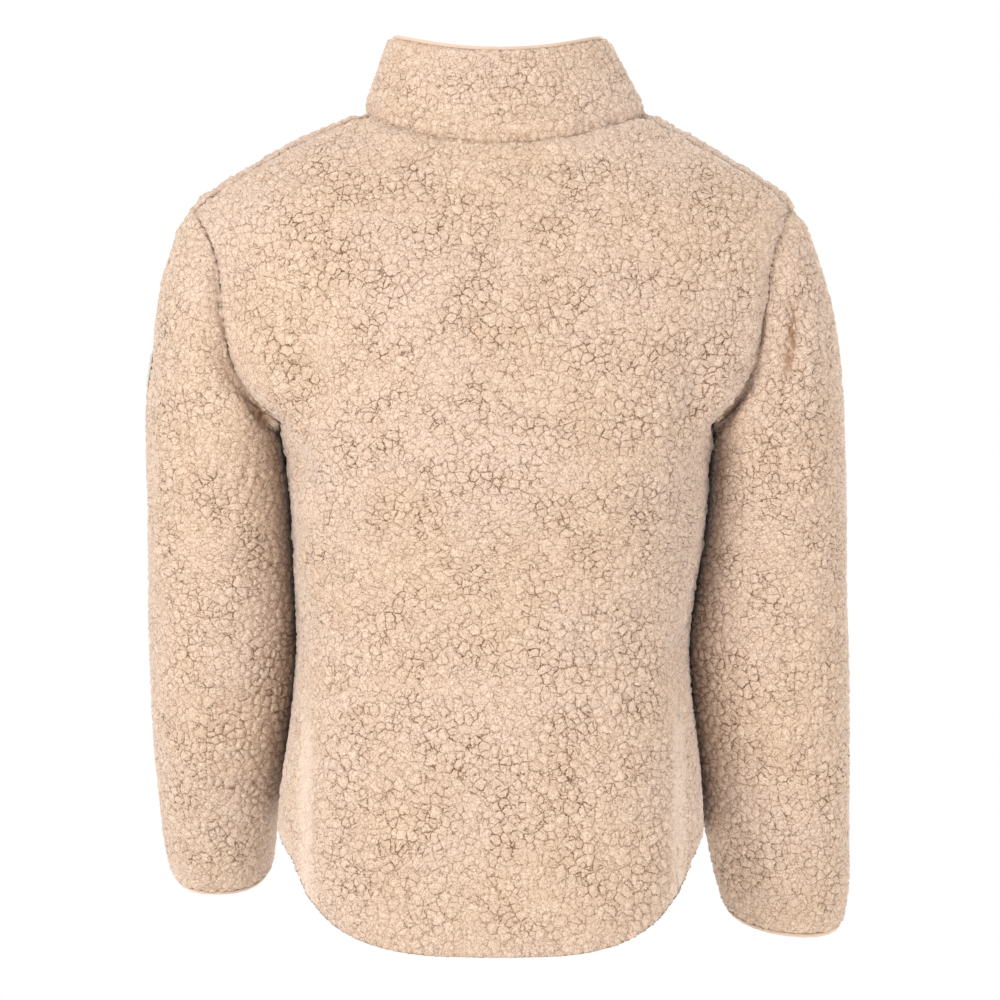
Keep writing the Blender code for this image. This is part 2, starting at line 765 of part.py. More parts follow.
def plate_outline():
    """Slider plate: wide and round at the top, narrow at the lower end."""
    top, end = SLIDER_TOP_WIDTH / 2, SLIDER_END_WIDTH / 2
    high, low = SLIDER_Z + SLIDER_LENGTH / 2, SLIDER_Z - SLIDER_LENGTH / 2
    right = (
        (end - 1.2, low),
        (end, low + 1.2),
        (end + 0.3, SLIDER_Z - 1.0),
        (top, SLIDER_Z + 2.0),
        (top, high - 3.0),
        (top - 1.4, high - 1.0),
        (top - 3.2, high),
    )
    return [(x, z) for x, z in right] + [(-x, z) for x, z in right[::-1]]


def slider_faces():
    """Depths in Y of the chain's middle and of the front plate's outer face."""
    chain = -(COLLAR_TOP["front"] - tape_depth())
    return chain, chain - BEAD_THICK / 2 - PLATE_CLEAR - PLATE_THICK


def arch_outline():
    """Half a ring seen from the side, with feet that reach into the plate: depth and height."""
    turns = np.linspace(0, np.pi, ARCH_STEPS + 1)
    outer = [(-ARCH_OUTER * math.sin(t), ARCH_OUTER * math.cos(t)) for t in turns]
    inner = [(-ARCH_INNER * math.sin(t), ARCH_INNER * math.cos(t)) for t in turns[::-1]]
    feet = [(ARCH_SINK, -ARCH_OUTER), (ARCH_SINK, -ARCH_INNER)]
    head = [(ARCH_SINK, ARCH_INNER), (ARCH_SINK, ARCH_OUTER)]
    return outer + feet + inner + head


def add_slider():
    chain, face = slider_faces()
    slider = add_prism("zip_slider", plate_outline(), face, face + PLATE_THICK, METAL)
    back_face = chain + BEAD_THICK / 2 + PLATE_CLEAR
    back = add_prism("back_plate", plate_outline(), back_face, back_face + PLATE_THICK, METAL)
    top = SLIDER_Z + SLIDER_LENGTH / 2
    neck_outline = [
        (-NECK_HALF_WIDTH, top - NECK_LENGTH),
        (NECK_HALF_WIDTH, top - NECK_LENGTH),
        (NECK_HALF_WIDTH, top - 0.3),
        (-NECK_HALF_WIDTH, top - 0.3),
    ]
    overlap = PLATE_THICK / 2
    neck = add_prism("neck", neck_outline, face + overlap, back_face + overlap, METAL)
    arch = arch_outline()
    count = len(arch)
    points = [
        (x, face + depth, SLIDER_Z + ARCH_Z + height)
        for x in (-ARCH_WIDTH / 2, ARCH_WIDTH / 2)
        for depth, height in arch
    ]
    faces = [tuple(range(count)), tuple(range(2 * count - 1, count - 1, -1))]
    faces += [(i, i + count, (i + 1) % count + count, (i + 1) % count) for i in range(count)]
    points = np.array(points)
    bridge = add_object("bridge", points, outward(points, faces), METAL)
    combine(slider, neck, "UNION")
    combine(slider, back, "UNION")
    combine(slider, bridge, "UNION")
    return slider


def tab_outline():
    """The flat of the pull tab, in X and down from its bar, with a round lower end."""
    turns = np.linspace(0, np.pi, 2 * TAB_ROUND_STEPS + 1)
    centre = TAB_LENGTH - TAB_HALF_WIDTH
    lower = [
        (TAB_HALF_WIDTH * math.cos(t), -(centre + TAB_HALF_WIDTH * math.sin(t))) for t in turns
    ]
    upper = [
        (-TAB_HALF_WIDTH, -TAB_SHOULDER),
        (-TAB_NECK_HALF_WIDTH, -TAB_SHOULDER + 2),
        (-TAB_NECK_HALF_WIDTH, TAB_TOP),
        (TAB_NECK_HALF_WIDTH, TAB_TOP),
        (TAB_NECK_HALF_WIDTH, -TAB_SHOULDER + 2),
        (TAB_HALF_WIDTH, -TAB_SHOULDER),
    ]
    return lower + upper


def add_pull():
    """The tab hangs from its bar, and the empty that it belongs to lies on the bar's axis."""
    face = slider_faces()[1]
    half = TAB_THICK / 2
    tab = add_prism("zip_pull", tab_outline(), -half, half, METAL)
    window = [
        (-WINDOW_HALF_WIDTH, -WINDOW_END),
        (WINDOW_HALF_WIDTH, -WINDOW_END),
        (WINDOW_HALF_WIDTH, 1),
        (-WINDOW_HALF_WIDTH, 1),
    ]
    hole = [
        (-TAB_HOLE_HALF_WIDTH, -TAB_HOLE_TO),
        (TAB_HOLE_HALF_WIDTH, -TAB_HOLE_TO),
        (TAB_HOLE_HALF_WIDTH, -TAB_HOLE_FROM),
        (-TAB_HOLE_HALF_WIDTH, -TAB_HOLE_FROM),
    ]
    combine(tab, add_prism("window", window, -2 * half, 2 * half, METAL), "DIFFERENCE")
    combine(tab, add_prism("hole", hole, -2 * half, 2 * half, METAL), "DIFFERENCE")
    bar_end = WINDOW_HALF_WIDTH + BAR_GRIP
    turns = (np.arange(BAR_SIDES) + 0.5) * 2 * np.pi / BAR_SIDES
    ring = [(BAR_RADIUS * math.cos(t), BAR_RADIUS * math.sin(t)) for t in turns]
    points = np.array([(x, y, z) for x in (-bar_end, bar_end) for y, z in ring])
    count = len(ring)
    faces = [tuple(range(count)), tuple(range(2 * count - 1, count - 1, -1))]
    faces += [(i, i + count, (i + 1) % count + count, (i + 1) % count) for i in range(count)]
    bar = add_object("bar", points, outward(points, faces), METAL)
    combine(tab, bar, "UNION")
    pivot = bpy.data.objects.new("pull_pivot", None)
    pivot.location = (0, (face - PIVOT_OUT) * MM, (SLIDER_Z + ARCH_Z) * MM)
    bpy.context.scene.collection.objects.link(pivot)
    tab.parent = pivot
    return tab


def patch_walls():
    """The patch follows the left sleeve's own surface, moved out."""
    down, turns = np.meshgrid(
        np.linspace(PATCH_FROM, PATCH_TO, PATCH_ROWS + 1),
        np.linspace(PATCH_ANGLES[0], PATCH_ANGLES[1], PATCH_COLUMNS + 1) % 360,
        indexing="ij",
    )
    normals = sleeve_normals(1, down, turns)
    surface = folded(sleeve_point(1, down, turns), normals)
    inner = surface + normals * SEAM_GAP
    return inner + normals * PATCH_THICK, inner


def clear_scene():
    for found in list(bpy.data.objects):
        bpy.data.objects.remove(found, do_unlink=True)


def build():
    clear_scene()
    add_wall("back", back_walls(), FLEECE)
    for side, name in ((1, "left"), (-1, "right")):
        add_wall(f"front_{name}", front_walls(side), FLEECE)
        add_wall(f"sleeve_{name}", sleeve_walls(side), FLEECE, closed=True)
        outer, normals = sleeve_grid(side)
        cuff = edge_band(outer[-1], outer[-2], normals[-1], CUFF_EDGE_IN)
        add_wall(f"cuff_edge_{name}", cuff, SMOOTH_EDGE, closed=True)
        add_tape(f"zip_tape_{name}", side)
    add_wall("collar", collar_walls(), FLEECE)
    outer, normals = collar_grid()
    collar_edge = edge_band(outer[-1], outer[-2], normals[-1], COLLAR_EDGE_IN)
    add_wall("collar_edge", collar_edge, SMOOTH_EDGE)
    add_slider()
    add_pull()
    add_wall("sleeve_patch", patch_walls(), PATCH)


build()
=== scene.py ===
"""The sheep-look fleece jacket as it looks: deep curled pile, plain backing, zip teeth and sewing.

Places are in metres, and a named size is in millimetres where its comment says so. The wearer's
left is at +X and the back faces +Y.
"""

import math

import bmesh
import bpy
import numpy as np
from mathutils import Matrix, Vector
from mathutils.kdtree import KDTree


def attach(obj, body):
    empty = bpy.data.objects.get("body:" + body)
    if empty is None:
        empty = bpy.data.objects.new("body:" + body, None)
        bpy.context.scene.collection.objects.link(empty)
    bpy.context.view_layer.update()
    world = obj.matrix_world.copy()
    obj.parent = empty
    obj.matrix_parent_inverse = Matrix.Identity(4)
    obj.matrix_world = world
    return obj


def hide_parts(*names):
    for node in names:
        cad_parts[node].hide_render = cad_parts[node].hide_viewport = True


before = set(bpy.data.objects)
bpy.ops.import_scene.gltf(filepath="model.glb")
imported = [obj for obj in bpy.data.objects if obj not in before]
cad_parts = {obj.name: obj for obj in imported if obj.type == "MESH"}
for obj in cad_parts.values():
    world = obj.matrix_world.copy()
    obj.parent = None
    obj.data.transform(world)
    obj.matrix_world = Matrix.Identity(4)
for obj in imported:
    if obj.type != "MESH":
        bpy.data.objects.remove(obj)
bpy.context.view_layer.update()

MM = 0.001

# Cloth pieces: the flat cut's width and length, and its area
SHEETS = {
    "back": (0.505, 0.715, 0.280),
    "front_left": (0.330, 0.690, 0.160),
    "front_right": (0.315, 0.685, 0.151),
    "sleeve_left": (0.430, 0.590, 0.188),
    "sleeve_right": (0.425, 0.616, 0.196),
    "collar": (0.530, 0.083, 0.041),
}

# The longest edges of a cloth mesh, in mm: on its outer face, its inner face and its rim
PILE_EDGE = {
    "back": 3.6,
    "front_left": 3.6,
    "front_right": 3.6,
    "sleeve_left": 3.3,
    "sleeve_right": 3.5,
    "collar": 2.6,
}
INNER_EDGE = 18.0
RIM_EDGE = 3.2

# A wall's faces are parted where it turns by more than this
SHARP = math.radians(42)

# A point's side goes from 0 on the wall's inner face to 1 on its outer one. It counts as on the
# outer face above the first of these, and as on the inner face below the second
ON_OUTER = 0.99
ON_INNER = 0.01

# Pile: how far its tops stand out of the cloth's form and its cracks go in, in mm
PILE_TOP = 0.9
PILE_DEPTH = 2.7

# In mm: the cloth of body and sleeves, and what folds, seams and cracks leave of it at least
WALL = 6.0
LEAST_LEFT = 1.2

# Curds to the metre, large and small ones
CURD_SCALE = 130.0
SMALL_SCALE = 235.0

# Cracks wave: how fine the waves are and how far they reach, in metres
SWAY_SCALE = 95.0
SWAY_REACH = 0.0095

# Curds are drawn together at the waist: its height, how far up and down, and by how much, in metres
WAIST = -0.355
WAIST_REACH = 0.05
WAIST_DRAW = 0.024

# In mm: how wide a free edge is rounded, and where the open field begins beside seams and edges
EDGE_ROUND = 6.0
FIELD_WIDTH = 42.0

# Seams: how deep and wide the groove is and how high the roll beside it, in mm, and how much
# shade is painted inside it
SEAMS = {
    "collar": (2.6, 8.0, 0.6, 0.40),
    "armhole": (3.2, 13.0, 1.5, 0.50),
    "shoulder": (2.6, 12.0, 1.2, 0.62),
    "side": (0.6, 9.0, 0.0, 0.0),
}

# In mm: the gap that is sewn up, how near counts as sewn, how far the pieces lap, and how wide
# the pale band along a side seam is
SEWN_GAP = 0.6
SEAM_NEAR = 1.6
SEAM_LAP = 0.02
BAND_WIDTH = 15.0

# A seam between front and back is the shoulder's above this height, in metres
SHOULDER_LOW = -0.2

# Where sleeve and body face each other, the dark of the gap between them is painted into the
# pile's colour as shade. The top is a height in metres, and the rest is in mm
HIDDEN_FROM = 3.0
HIDDEN_TO = 24.0
HIDDEN_TOP = -0.215
GAP_LEFT = 3.5
GAP_SWELL = 2.4

# The seams wave by this much, in metres
SEAM_WAVE = 0.0095

# Folds: piece, side (1 back, -1 front), depth and width in mm, how much shade is painted inside,
# then places along it in mm, across and up
FOLDS = (
    ("back", 1, 4.2, 10, 0.0, ((148, -178), (151, -215), (146, -248))),
    ("back", 1, 3.8, 10, 0.0, ((-161, -205), (-165, -232), (-158, -262))),
    ("back", 1, 3.2, 9, 0.0, ((176, -262), (160, -300), (138, -330))),
    ("back", 1, 2.9, 9, 0.0, ((-166, -288), (-150, -318), (-128, -338))),
    ("back", 1, 1.8, 8, 0.0, ((136, -352), (86, -362), (34, -356))),
    ("back", 1, 1.9, 8, 0.0, ((-14, -376), (-66, -386), (-124, -374))),
    ("back", 1, 1.6, 8, 0.0, ((90, -414), (28, -424), (-46, -412))),
    ("back", 1, 1.4, 9, 0.0, ((60, -30), (0, -38), (-64, -28))),
    ("front_left", -1, 3.8, 10, 0.0, ((150, -190), (152, -226), (144, -262))),
    ("front_left", -1, 3.2, 10, 0.0, ((168, -270), (140, -312), (106, -336))),
    ("front_left", -1, 1.9, 9, 0.0, ((134, -372), (88, -384), (40, -376))),
    ("front_right", -1, 3.8, 10, 0.0, ((-150, -186), (-155, -224), (-148, -258))),
    ("front_right", -1, 3.2, 10, 0.0, ((-164, -276), (-134, -316), (-98, -342))),
    ("front_right", -1, 1.9, 9, 0.0, ((-138, -396), (-92, -408), (-44, -402))),
    ("sleeve_left", 1, 4.5, 9, 0.0, ((232, -118), (226, -156), (212, -192))),
    ("sleeve_left", 1, 4.6, 7, 1.0, ((212, -218), (198, -243), (188, -264))),
    ("sleeve_left", 1, 4.2, 9, 0.0, ((266, -262), (256, -286), (238, -306))),
    ("sleeve_left", 1, 3.2, 10, 0.0, ((214, -318), (240, -340), (262, -346))),
    ("sleeve_left", 1, 2.9, 10, 0.0, ((272, -420), (248, -442), (220, -446))),
    ("sleeve_left", -1, 4.2, 9, 0.0, ((268, -300), (246, -318), (216, -322))),
    ("sleeve_left", -1, 3.5, 9, 0.0, ((266, -356), (242, -372), (214, -370))),
    ("sleeve_left", -1, 2.9, 10, 0.0, ((266, -430), (244, -446), (222, -442))),
    ("sleeve_right", 1, 3.2, 9, 0.55, ((-238, -130), (-242, -186), (-230, -238))),
    ("sleeve_right", 1, 2.6, 7, 0.9, ((-198, -220), (-188, -242), (-181, -262))),
    ("sleeve_right", 1, 3.5, 9, 0.0, ((-206, -262), (-226, -290), (-252, -304))),
    ("sleeve_right", 1, 2.9, 10, 0.0, ((-266, -360), (-240, -380), (-212, -382))),
    ("sleeve_right", 1, 2.6, 10, 0.0, ((-270, -480), (-246, -500), (-220, -500))),
    ("sleeve_right", -1, 4.2, 9, 0.0, ((-262, -306), (-238, -322), (-208, -326))),
    ("sleeve_right", -1, 3.5, 9, 0.0, ((-262, -368), (-238, -380), (-210, -376))),
    ("sleeve_right", -1, 2.9, 10, 0.0, ((-266, -446), (-244, -460), (-218, -456))),
)

# A fold runs out over this share of its length, and a low ridge lies beside it: its height as a
# share of the depth and its place in widths of the fold
FOLD_ENDS = 0.35
FOLD_RIDGE = 0.45
RIDGE_AWAY = 2.1

# Zip teeth, in mm: one side's teeth stand half a pitch above the other's
TOOTH_PITCH = 2.7
TOOTH_THICK = 3.4
TOOTH_OUTLINE = (
    (3.1, -0.42), (0.5, -0.42), (0.1, -0.60), (-0.5, -0.60), (-0.9, -0.30),
    (-0.9, 0.30), (-0.5, 0.60), (0.1, 0.60), (0.5, 0.42), (3.1, 0.42),
)
TOOTH_HEAD = 0.9
TEETH_OPEN = 0.5
CHAIN_TOP = -12.5
CHAIN_END = -637.0
SLIDER_TOP = -17.0
SLIDER_FOOT = -33.0

# A tape's bead, in mm: how far it reaches from the middle, and the steps in which it is followed
BEAD_HALF = 1.7
BEAD_STEP = 3.0

# Sewing on the patch, in mm
STITCH_LENGTH = 2.4
STITCH_GAP = 0.9
THREAD = 0.28
STITCH_IN = 1.8
STITCH_SIDES = 6

# A stitch's rings: the share of its length, the thickness and the lift of each one
STITCH_RINGS = ((0.0, 0.5, -0.5), (0.2, 1.0, 0.35), (0.8, 1.0, 0.35), (1.0, 0.5, -0.5))

# The left sleeve's middle line lies this far out at the patch, in metres
SLEEVE_MIDDLE = 0.24

# Camera and floor: places and reach in metres, sensor and lens in mm
CAMERA_PLACE = (0.0, 3.0, -0.319)
CAMERA_TARGET = (0.0, 0.0, -0.319)
CAMERA_SENSOR = 36.0
CAMERA_LENS = 128.57
CAMERA_REACH = 50.0
FLOOR_PLACE = (0.0, 0.0, -1.25)
FLOOR_RADIUS = 2.8

# Lights: name, place, what it is turned to, size in metres, power in watts
LIGHTS = (
    ("key", (1.7, 2.1, 0.6), (0.0, 0.0, -0.36), 1.0, 47.0),
    ("fill", (-2.1, 1.4, -0.4), (0.0, 0.0, -0.40), 1.3, 13.0),
    ("front_key", (-1.5, -2.3, 0.9), (0.0, 0.0, -0.32), 1.1, 46.0),
)

# Where a mix node for colours has its two colours and its result
MIX_FIRST = 6
MIX_SECOND = 7
MIX_RESULT = 2


# Node trees, for materials and for the pile's geometry alike


class Tree:
    """Short names for the nodes that both kinds of tree share."""

    def __init__(self, tree):
        self.tree = tree

    def node(self, kind, **settings):
        made = self.tree.nodes.new(kind)
        for name, value in settings.items():
            setattr(made, name, value)
        return made

    def put(self, socket, value):
        if isinstance(value, bpy.types.NodeSocket):
            self.tree.links.new(value, socket)
        elif value is not None:
            socket.default_value = value

    def math(self, operation, *values):
        made = self.node("ShaderNodeMath", operation=operation)
        for socket, value in zip(made.inputs, values):
            self.put(socket, value)
        return made.outputs[0]

    def vector(self, operation, *values):
        made = self.node("ShaderNodeVectorMath", operation=operation)
        for socket, value in zip(made.inputs, values):
            self.put(socket, value)
        return made.outputs[1 if operation in ("LENGTH", "DISTANCE", "DOT_PRODUCT") else 0]

    def scaled(self, vector, factor):
        made = self.node("ShaderNodeVectorMath", operation="SCALE")
        self.put(made.inputs[0], vector)
        self.put(made.inputs["Scale"], factor)
        return made.outputs[0]

    def step(self, value, low, high, start=0.0, end=1.0):
        """Goes softly from start to end as value goes from low to high."""
        made = self.node("ShaderNodeMapRange", interpolation_type="SMOOTHSTEP")
        for name, given in (
            ("Value", value), ("From Min", low), ("From Max", high),
            ("To Min", start), ("To Max", end),
        ):
            self.put(made.inputs[name], given)
        return made.outputs[0]

    def noise(self, vector, scale, detail=2.0, roughness=0.5):
        made = self.node("ShaderNodeTexNoise")
        for name, given in (
            ("Vector", vector), ("Scale", scale), ("Detail", detail), ("Roughness", roughness),
        ):
            self.put(made.inputs[name], given)
        return made.outputs

    def cells(self, vector, scale, feature):
        made = self.node("ShaderNodeTexVoronoi", feature=feature)
        self.put(made.inputs["Vector"], vector)
        self.put(made.inputs["Scale"], scale)
        return made.outputs

    def split(self, vector):
        made = self.node("ShaderNodeSeparateXYZ")
        self.put(made.inputs[0], vector)
        return made.outputs

    def join(self, x, y, z):
        made = self.node("ShaderNodeCombineXYZ")
        for socket, value in zip(made.inputs, (x, y, z)):
            self.put(socket, value)
        return made.outputs[0]


def cracks(t, place, out, scale):
    """Cells packed in the cloth. Returns how far the nearest crack between two of them is
    along the cloth, as a share of a cell, and a tone for each cell."""
    first = t.cells(place, scale, "F1")
    second = t.cells(place, scale, "F2")["Position"]
    across = t.vector("NORMALIZE", t.vector("SUBTRACT", second, first["Position"]))
    halfway = t.scaled(t.vector("ADD", second, first["Position"]), 0.5)
    gap = t.vector("DOT_PRODUCT", t.vector("SUBTRACT", halfway, place), across)
    lean = t.vector("LENGTH", t.vector("CROSS_PRODUCT", across, out))
    gap = t.math("DIVIDE", t.math("MULTIPLY", gap, scale), t.math("MAXIMUM", lean, 0.25))
    return gap, t.split(first["Color"])


def swayed(t, place):
    """The place moved a little to and fro, so that cracks wave, and drawn in at the waist."""
    sway = t.noise(place, SWAY_SCALE, 4.0, 0.68)["Color"]
    sway = t.scaled(t.vector("SUBTRACT", sway, (0.5, 0.5, 0.5)), SWAY_REACH)
    x, y, z = t.split(t.vector("ADD", place, sway))[:3]
    waist = t.math("TANH", t.math("MULTIPLY", t.math("ADD", z, -WAIST), 1 / WAIST_REACH))
    return t.join(x, y, t.math("ADD", z, t.math("MULTIPLY", waist, WAIST_DRAW)))


def crack_force(t, place):
    """How open the cracks are here: patches of many, then parts of each one."""
    patches = t.step(t.noise(place, 26.0, 2.0, 0.5)["Fac"], 0.34, 0.66, 0.50, 1.0)
    parts = t.step(t.noise(place, 130.0, 2.0, 0.6)["Fac"], 0.34, 0.60, 0.30, 1.0)
    return t.math("MULTIPLY", patches, parts)


def curd_height(t, place, out):
    gap, tone = cracks(t, swayed(t, place), out, CURD_SCALE)
    force = crack_force(t, place)
    dome = t.math("MULTIPLY", t.step(gap, 0.0, 0.34), t.math("MULTIPLY_ADD", tone[0], 0.3, 0.7))
    weight = t.math("MULTIPLY_ADD", force, 0.60, 0.38)
    top = t.math("SUBTRACT", 1.0, t.math("MULTIPLY", t.math("SUBTRACT", 1.0, dome), weight))
    swell = t.math("MULTIPLY_ADD", t.noise(place, 24.0, 2.0)["Fac"], 0.5, -0.25)
    tufts = t.math("MULTIPLY_ADD", t.noise(place, 300.0, 2.0, 0.7)["Fac"], 0.5, -0.25)
    return t.math("ADD", t.math("ADD", top, swell), tufts)


# Materials


def new_material(name):
    made = bpy.data.materials.new(name)
    made.use_nodes = True
    tree = Tree(made.node_tree)
    return made, tree, made.node_tree.nodes["Principled BSDF"]


def colour(red, green, blue):
    """A colour as seen, from 0 to 255, made linear for a shader."""
    def linear(value):
        value /= 255
        return value / 12.92 if value <= 0.04045 else ((value + 0.055) / 1.055) ** 2.4
    return (linear(red), linear(green), linear(blue), 1.0)


CURD_DARK = colour(213, 187, 164)
CURD_LIGHT = colour(227, 203, 181)
CURD_PINK = colour(222, 199, 182)
# A darker wool tone for the grain, also used as painted shade beside the cracks
WOOL_SHADE = colour(184, 152, 125)
SEAM_PALE = colour(222, 201, 184)
# Painted shade deep in the cracks between curds and in the gap between sleeve and body
DEEP_SHADE = colour(98, 66, 42)
# Painted shade in the seam and fold grooves
SEAM_SHADE = colour(140, 100, 70)


def mix(t, factor, first, second):
    made = t.node("ShaderNodeMix", data_type="RGBA")
    t.put(made.inputs[0], factor)
    t.put(made.inputs[MIX_FIRST], first)
    t.put(made.inputs[MIX_SECOND], second)
    return made.outputs[MIX_RESULT]


def bump(t, height, distance, strength):
    made = t.node("ShaderNodeBump")
    made.inputs["Strength"].default_value = strength
    made.inputs["Distance"].default_value = distance
    t.put(made.inputs["Height"], height)
    return made.outputs[0]


def attribute(t, name):
    return t.node("ShaderNodeAttribute", attribute_name=name).outputs


def fleece_material():
    made, t, shader = new_material("fleece_pile")
    place = attribute(t, "rest")["Vector"]
    out = attribute(t, "out")["Vector"]
    # This attribute holds the painted shade of the seam and fold grooves
    seam = attribute(t, "seam")["Fac"]
    band = attribute(t, "band")["Fac"]
    open_field = attribute(t, "field")["Fac"]
    moved = swayed(t, place)
    gap, tone = cracks(t, moved, out, CURD_SCALE)
    small, small_tone = cracks(t, moved, out, SMALL_SCALE)
    wool = t.noise(place, 620.0, 3.0, 0.75)["Fac"]
    force = t.math("MULTIPLY", crack_force(t, place), t.math("MULTIPLY_ADD", open_field, 0.6, 0.4))
    force = t.math("MULTIPLY", force, t.math("MULTIPLY_ADD", band, -0.85, 1.0))
    # Painted shade where the pile lies in the gap between sleeve and body: the cracks open wider there
    # and the colour darkens
    gap_shade = attribute(t, "gap_shade")["Fac"]
    force = t.math("MAXIMUM", force, gap_shade)
    uneven = t.math("MULTIPLY_ADD", wool, 0.10, -0.05)
    width = t.math("MULTIPLY_ADD", force, 0.062, 0.044)
    # Painted shade in the cracks between curds, and a broad painted shade beside them for the curds'
    # rounding
    near = t.math("SUBTRACT", 1.0, t.step(t.math("ADD", gap, uneven), 0.0, width))
    crack = t.math("MULTIPLY", near, t.math("MULTIPLY_ADD", force, 0.85, 0.15))
    shade = t.math("MULTIPLY", t.math("SUBTRACT", 1.0, t.step(gap, 0.0, 0.26)), force)
    # Painted shade in the small cracks
    small_near = t.math("SUBTRACT", 1.0, t.step(t.math("ADD", small, uneven), 0.0, 0.11))
    small_force = t.math("MULTIPLY_ADD", small_tone[2], 0.54, 0.14)
    small_crack = t.math("MULTIPLY", small_near, small_force)
    small_crack = t.math("MULTIPLY", small_crack, t.math("MULTIPLY_ADD", band, -0.6, 1.0))
    broad = t.noise(place, 9.0, 2.0)["Fac"]
    curd = mix(t, tone[1], CURD_DARK, CURD_LIGHT)
    curd = mix(t, t.step(broad, 0.35, 0.7), curd, CURD_PINK)
    curd = mix(t, t.math("MULTIPLY", t.step(wool, 0.64, 0.40), 0.60), curd, WOOL_SHADE)
    # Painted shade beside the cracks
    curd = mix(t, t.math("MULTIPLY", shade, 0.34), curd, WOOL_SHADE)
    curd = mix(t, t.math("MULTIPLY", band, 0.6), curd, SEAM_PALE)
    # Painted shade in the small and large cracks
    painted = mix(t, small_crack, curd, DEEP_SHADE)
    painted = mix(t, crack, painted, DEEP_SHADE)
    chain = t.noise(place, 90.0, 3.0, 0.7)["Fac"]
    # Painted shade in the seam and fold grooves, broken up along them
    crease_shade = t.math("MULTIPLY", t.step(seam, 0.05, 0.75), t.step(chain, 0.40, 0.60, 0.10, 1.0))
    painted = mix(t, crease_shade, painted, SEAM_SHADE)
    # Painted shade of the gap between sleeve and body
    painted = mix(t, t.math("MULTIPLY", gap_shade, 0.66), painted, DEEP_SHADE)
    t.put(shader.inputs["Base Color"], painted)
    shader.inputs["Roughness"].default_value = 0.95
    shader.inputs["Specular IOR Level"].default_value = 0.15
    shader.inputs["Sheen Weight"].default_value = 0.65
    shader.inputs["Sheen Roughness"].default_value = 0.38
    shader.inputs["Sheen Tint"].default_value = (1.0, 0.94, 0.90, 1.0)
    t.put(shader.inputs["Normal"], bump(t, wool, 0.0011, 0.85))
    return made


def backing_material():
    """The knitted side inside: fine ribs of small loops."""
    made, t, shader = new_material("knit_backing")
    place = attribute(t, "rest")["Vector"]
    x, y, z = t.split(place)[:3]
    round_it = t.math("MULTIPLY", t.math("ADD", x, t.math("MULTIPLY", y, 0.8)), 2600.0)
    rib = t.math("MULTIPLY_ADD", t.math("SINE", round_it), 0.5, 0.5)
    loop = t.math("MULTIPLY_ADD", t.math("SINE", t.math("MULTIPLY", z, 3900.0)), 0.5, 0.5)
    fuzz = t.noise(place, 480.0, 3.0)["Fac"]
    knit = t.math("MULTIPLY", rib, t.math("MULTIPLY_ADD", loop, 0.5, 0.5))
    shade = mix(t, fuzz, colour(214, 188, 160), colour(229, 206, 181))
    shade = mix(t, t.math("MULTIPLY", t.math("SUBTRACT", 1.0, knit), 0.35), shade, colour(180, 148, 118))
    t.put(shader.inputs["Base Color"], shade)
    shader.inputs["Roughness"].default_value = 0.9
    shader.inputs["Sheen Weight"].default_value = 0.15
    t.put(shader.inputs["Normal"], bump(t, t.math("ADD", knit, fuzz), 0.0004, 0.6))
    return made


def woven_material(name, dark, light, pitch):
    """A tight plain weave for tapes, bands and the patch."""
    made, t, shader = new_material(name)
    place = t.node("ShaderNodeTexCoord").outputs["Object"]
    x, y, z = t.split(place)[:3]
    turn = 2 * math.pi / pitch
    warp = t.math("SINE", t.math("MULTIPLY", t.math("ADD", x, y), turn))
    weft = t.math("SINE", t.math("MULTIPLY", z, turn))
    weave = t.math("MULTIPLY_ADD", t.math("MULTIPLY", warp, weft), 0.5, 0.5)
    grain = t.noise(place, 900.0, 2.0)["Fac"]
    t.put(shader.inputs["Base Color"], mix(t, t.math("MULTIPLY_ADD", weave, 0.6, 0.2), dark, light))
    shader.inputs["Roughness"].default_value = 0.75
    shader.inputs["Sheen Weight"].default_value = 0.15
    t.put(shader.inputs["Normal"], bump(t, t.math("ADD", weave, grain), 0.0003, 0.5))
    return made


def metal_material():
    made, t, shader = new_material("slider_satin")
    place = t.node("ShaderNodeTexCoord").outputs["Object"]
    brushed = t.noise(t.vector("MULTIPLY", place, (400.0, 400.0, 5200.0)), 1.0, 3.0)["Fac"]
    worn = t.noise(place, 260.0, 2.0)["Fac"]
    t.put(shader.inputs["Base Color"], mix(t, worn, colour(168, 158, 144), colour(196, 188, 175)))
    shader.inputs["Metallic"].default_value = 1.0
    t.put(shader.inputs["Roughness"], t.math("MULTIPLY_ADD", worn, 0.18, 0.24))
    t.put(shader.inputs["Normal"], bump(t, brushed, 0.0001, 0.35))
    return made


def teeth_material():
    made, t, shader = new_material("moulded_teeth")
    place = t.node("ShaderNodeTexCoord").outputs["Object"]
    grain = t.noise(place, 700.0, 2.0)["Fac"]
    t.put(shader.inputs["Base Color"], mix(t, grain, colour(172, 142, 112), colour(188, 158, 126)))
    shader.inputs["Roughness"].default_value = 0.38
    t.put(shader.inputs["Normal"], bump(t, grain, 0.0001, 0.3))
    return made


def floor_material():
    made, t, shader = new_material("pale_floor")
    place = t.node("ShaderNodeTexCoord").outputs["Object"]
    shade = t.noise(place, 3.0, 2.0)["Fac"]
    t.put(shader.inputs["Base Color"], mix(t, shade, (0.90, 0.90, 0.90, 1), (0.93, 0.93, 0.93, 1)))
    shader.inputs["Roughness"].default_value = 0.8
    return made


# Camera, light and floor


def aim(thing, target):
    direction = Vector(target) - thing.location
    thing.rotation_euler = direction.to_track_quat("-Z", "Y").to_euler()


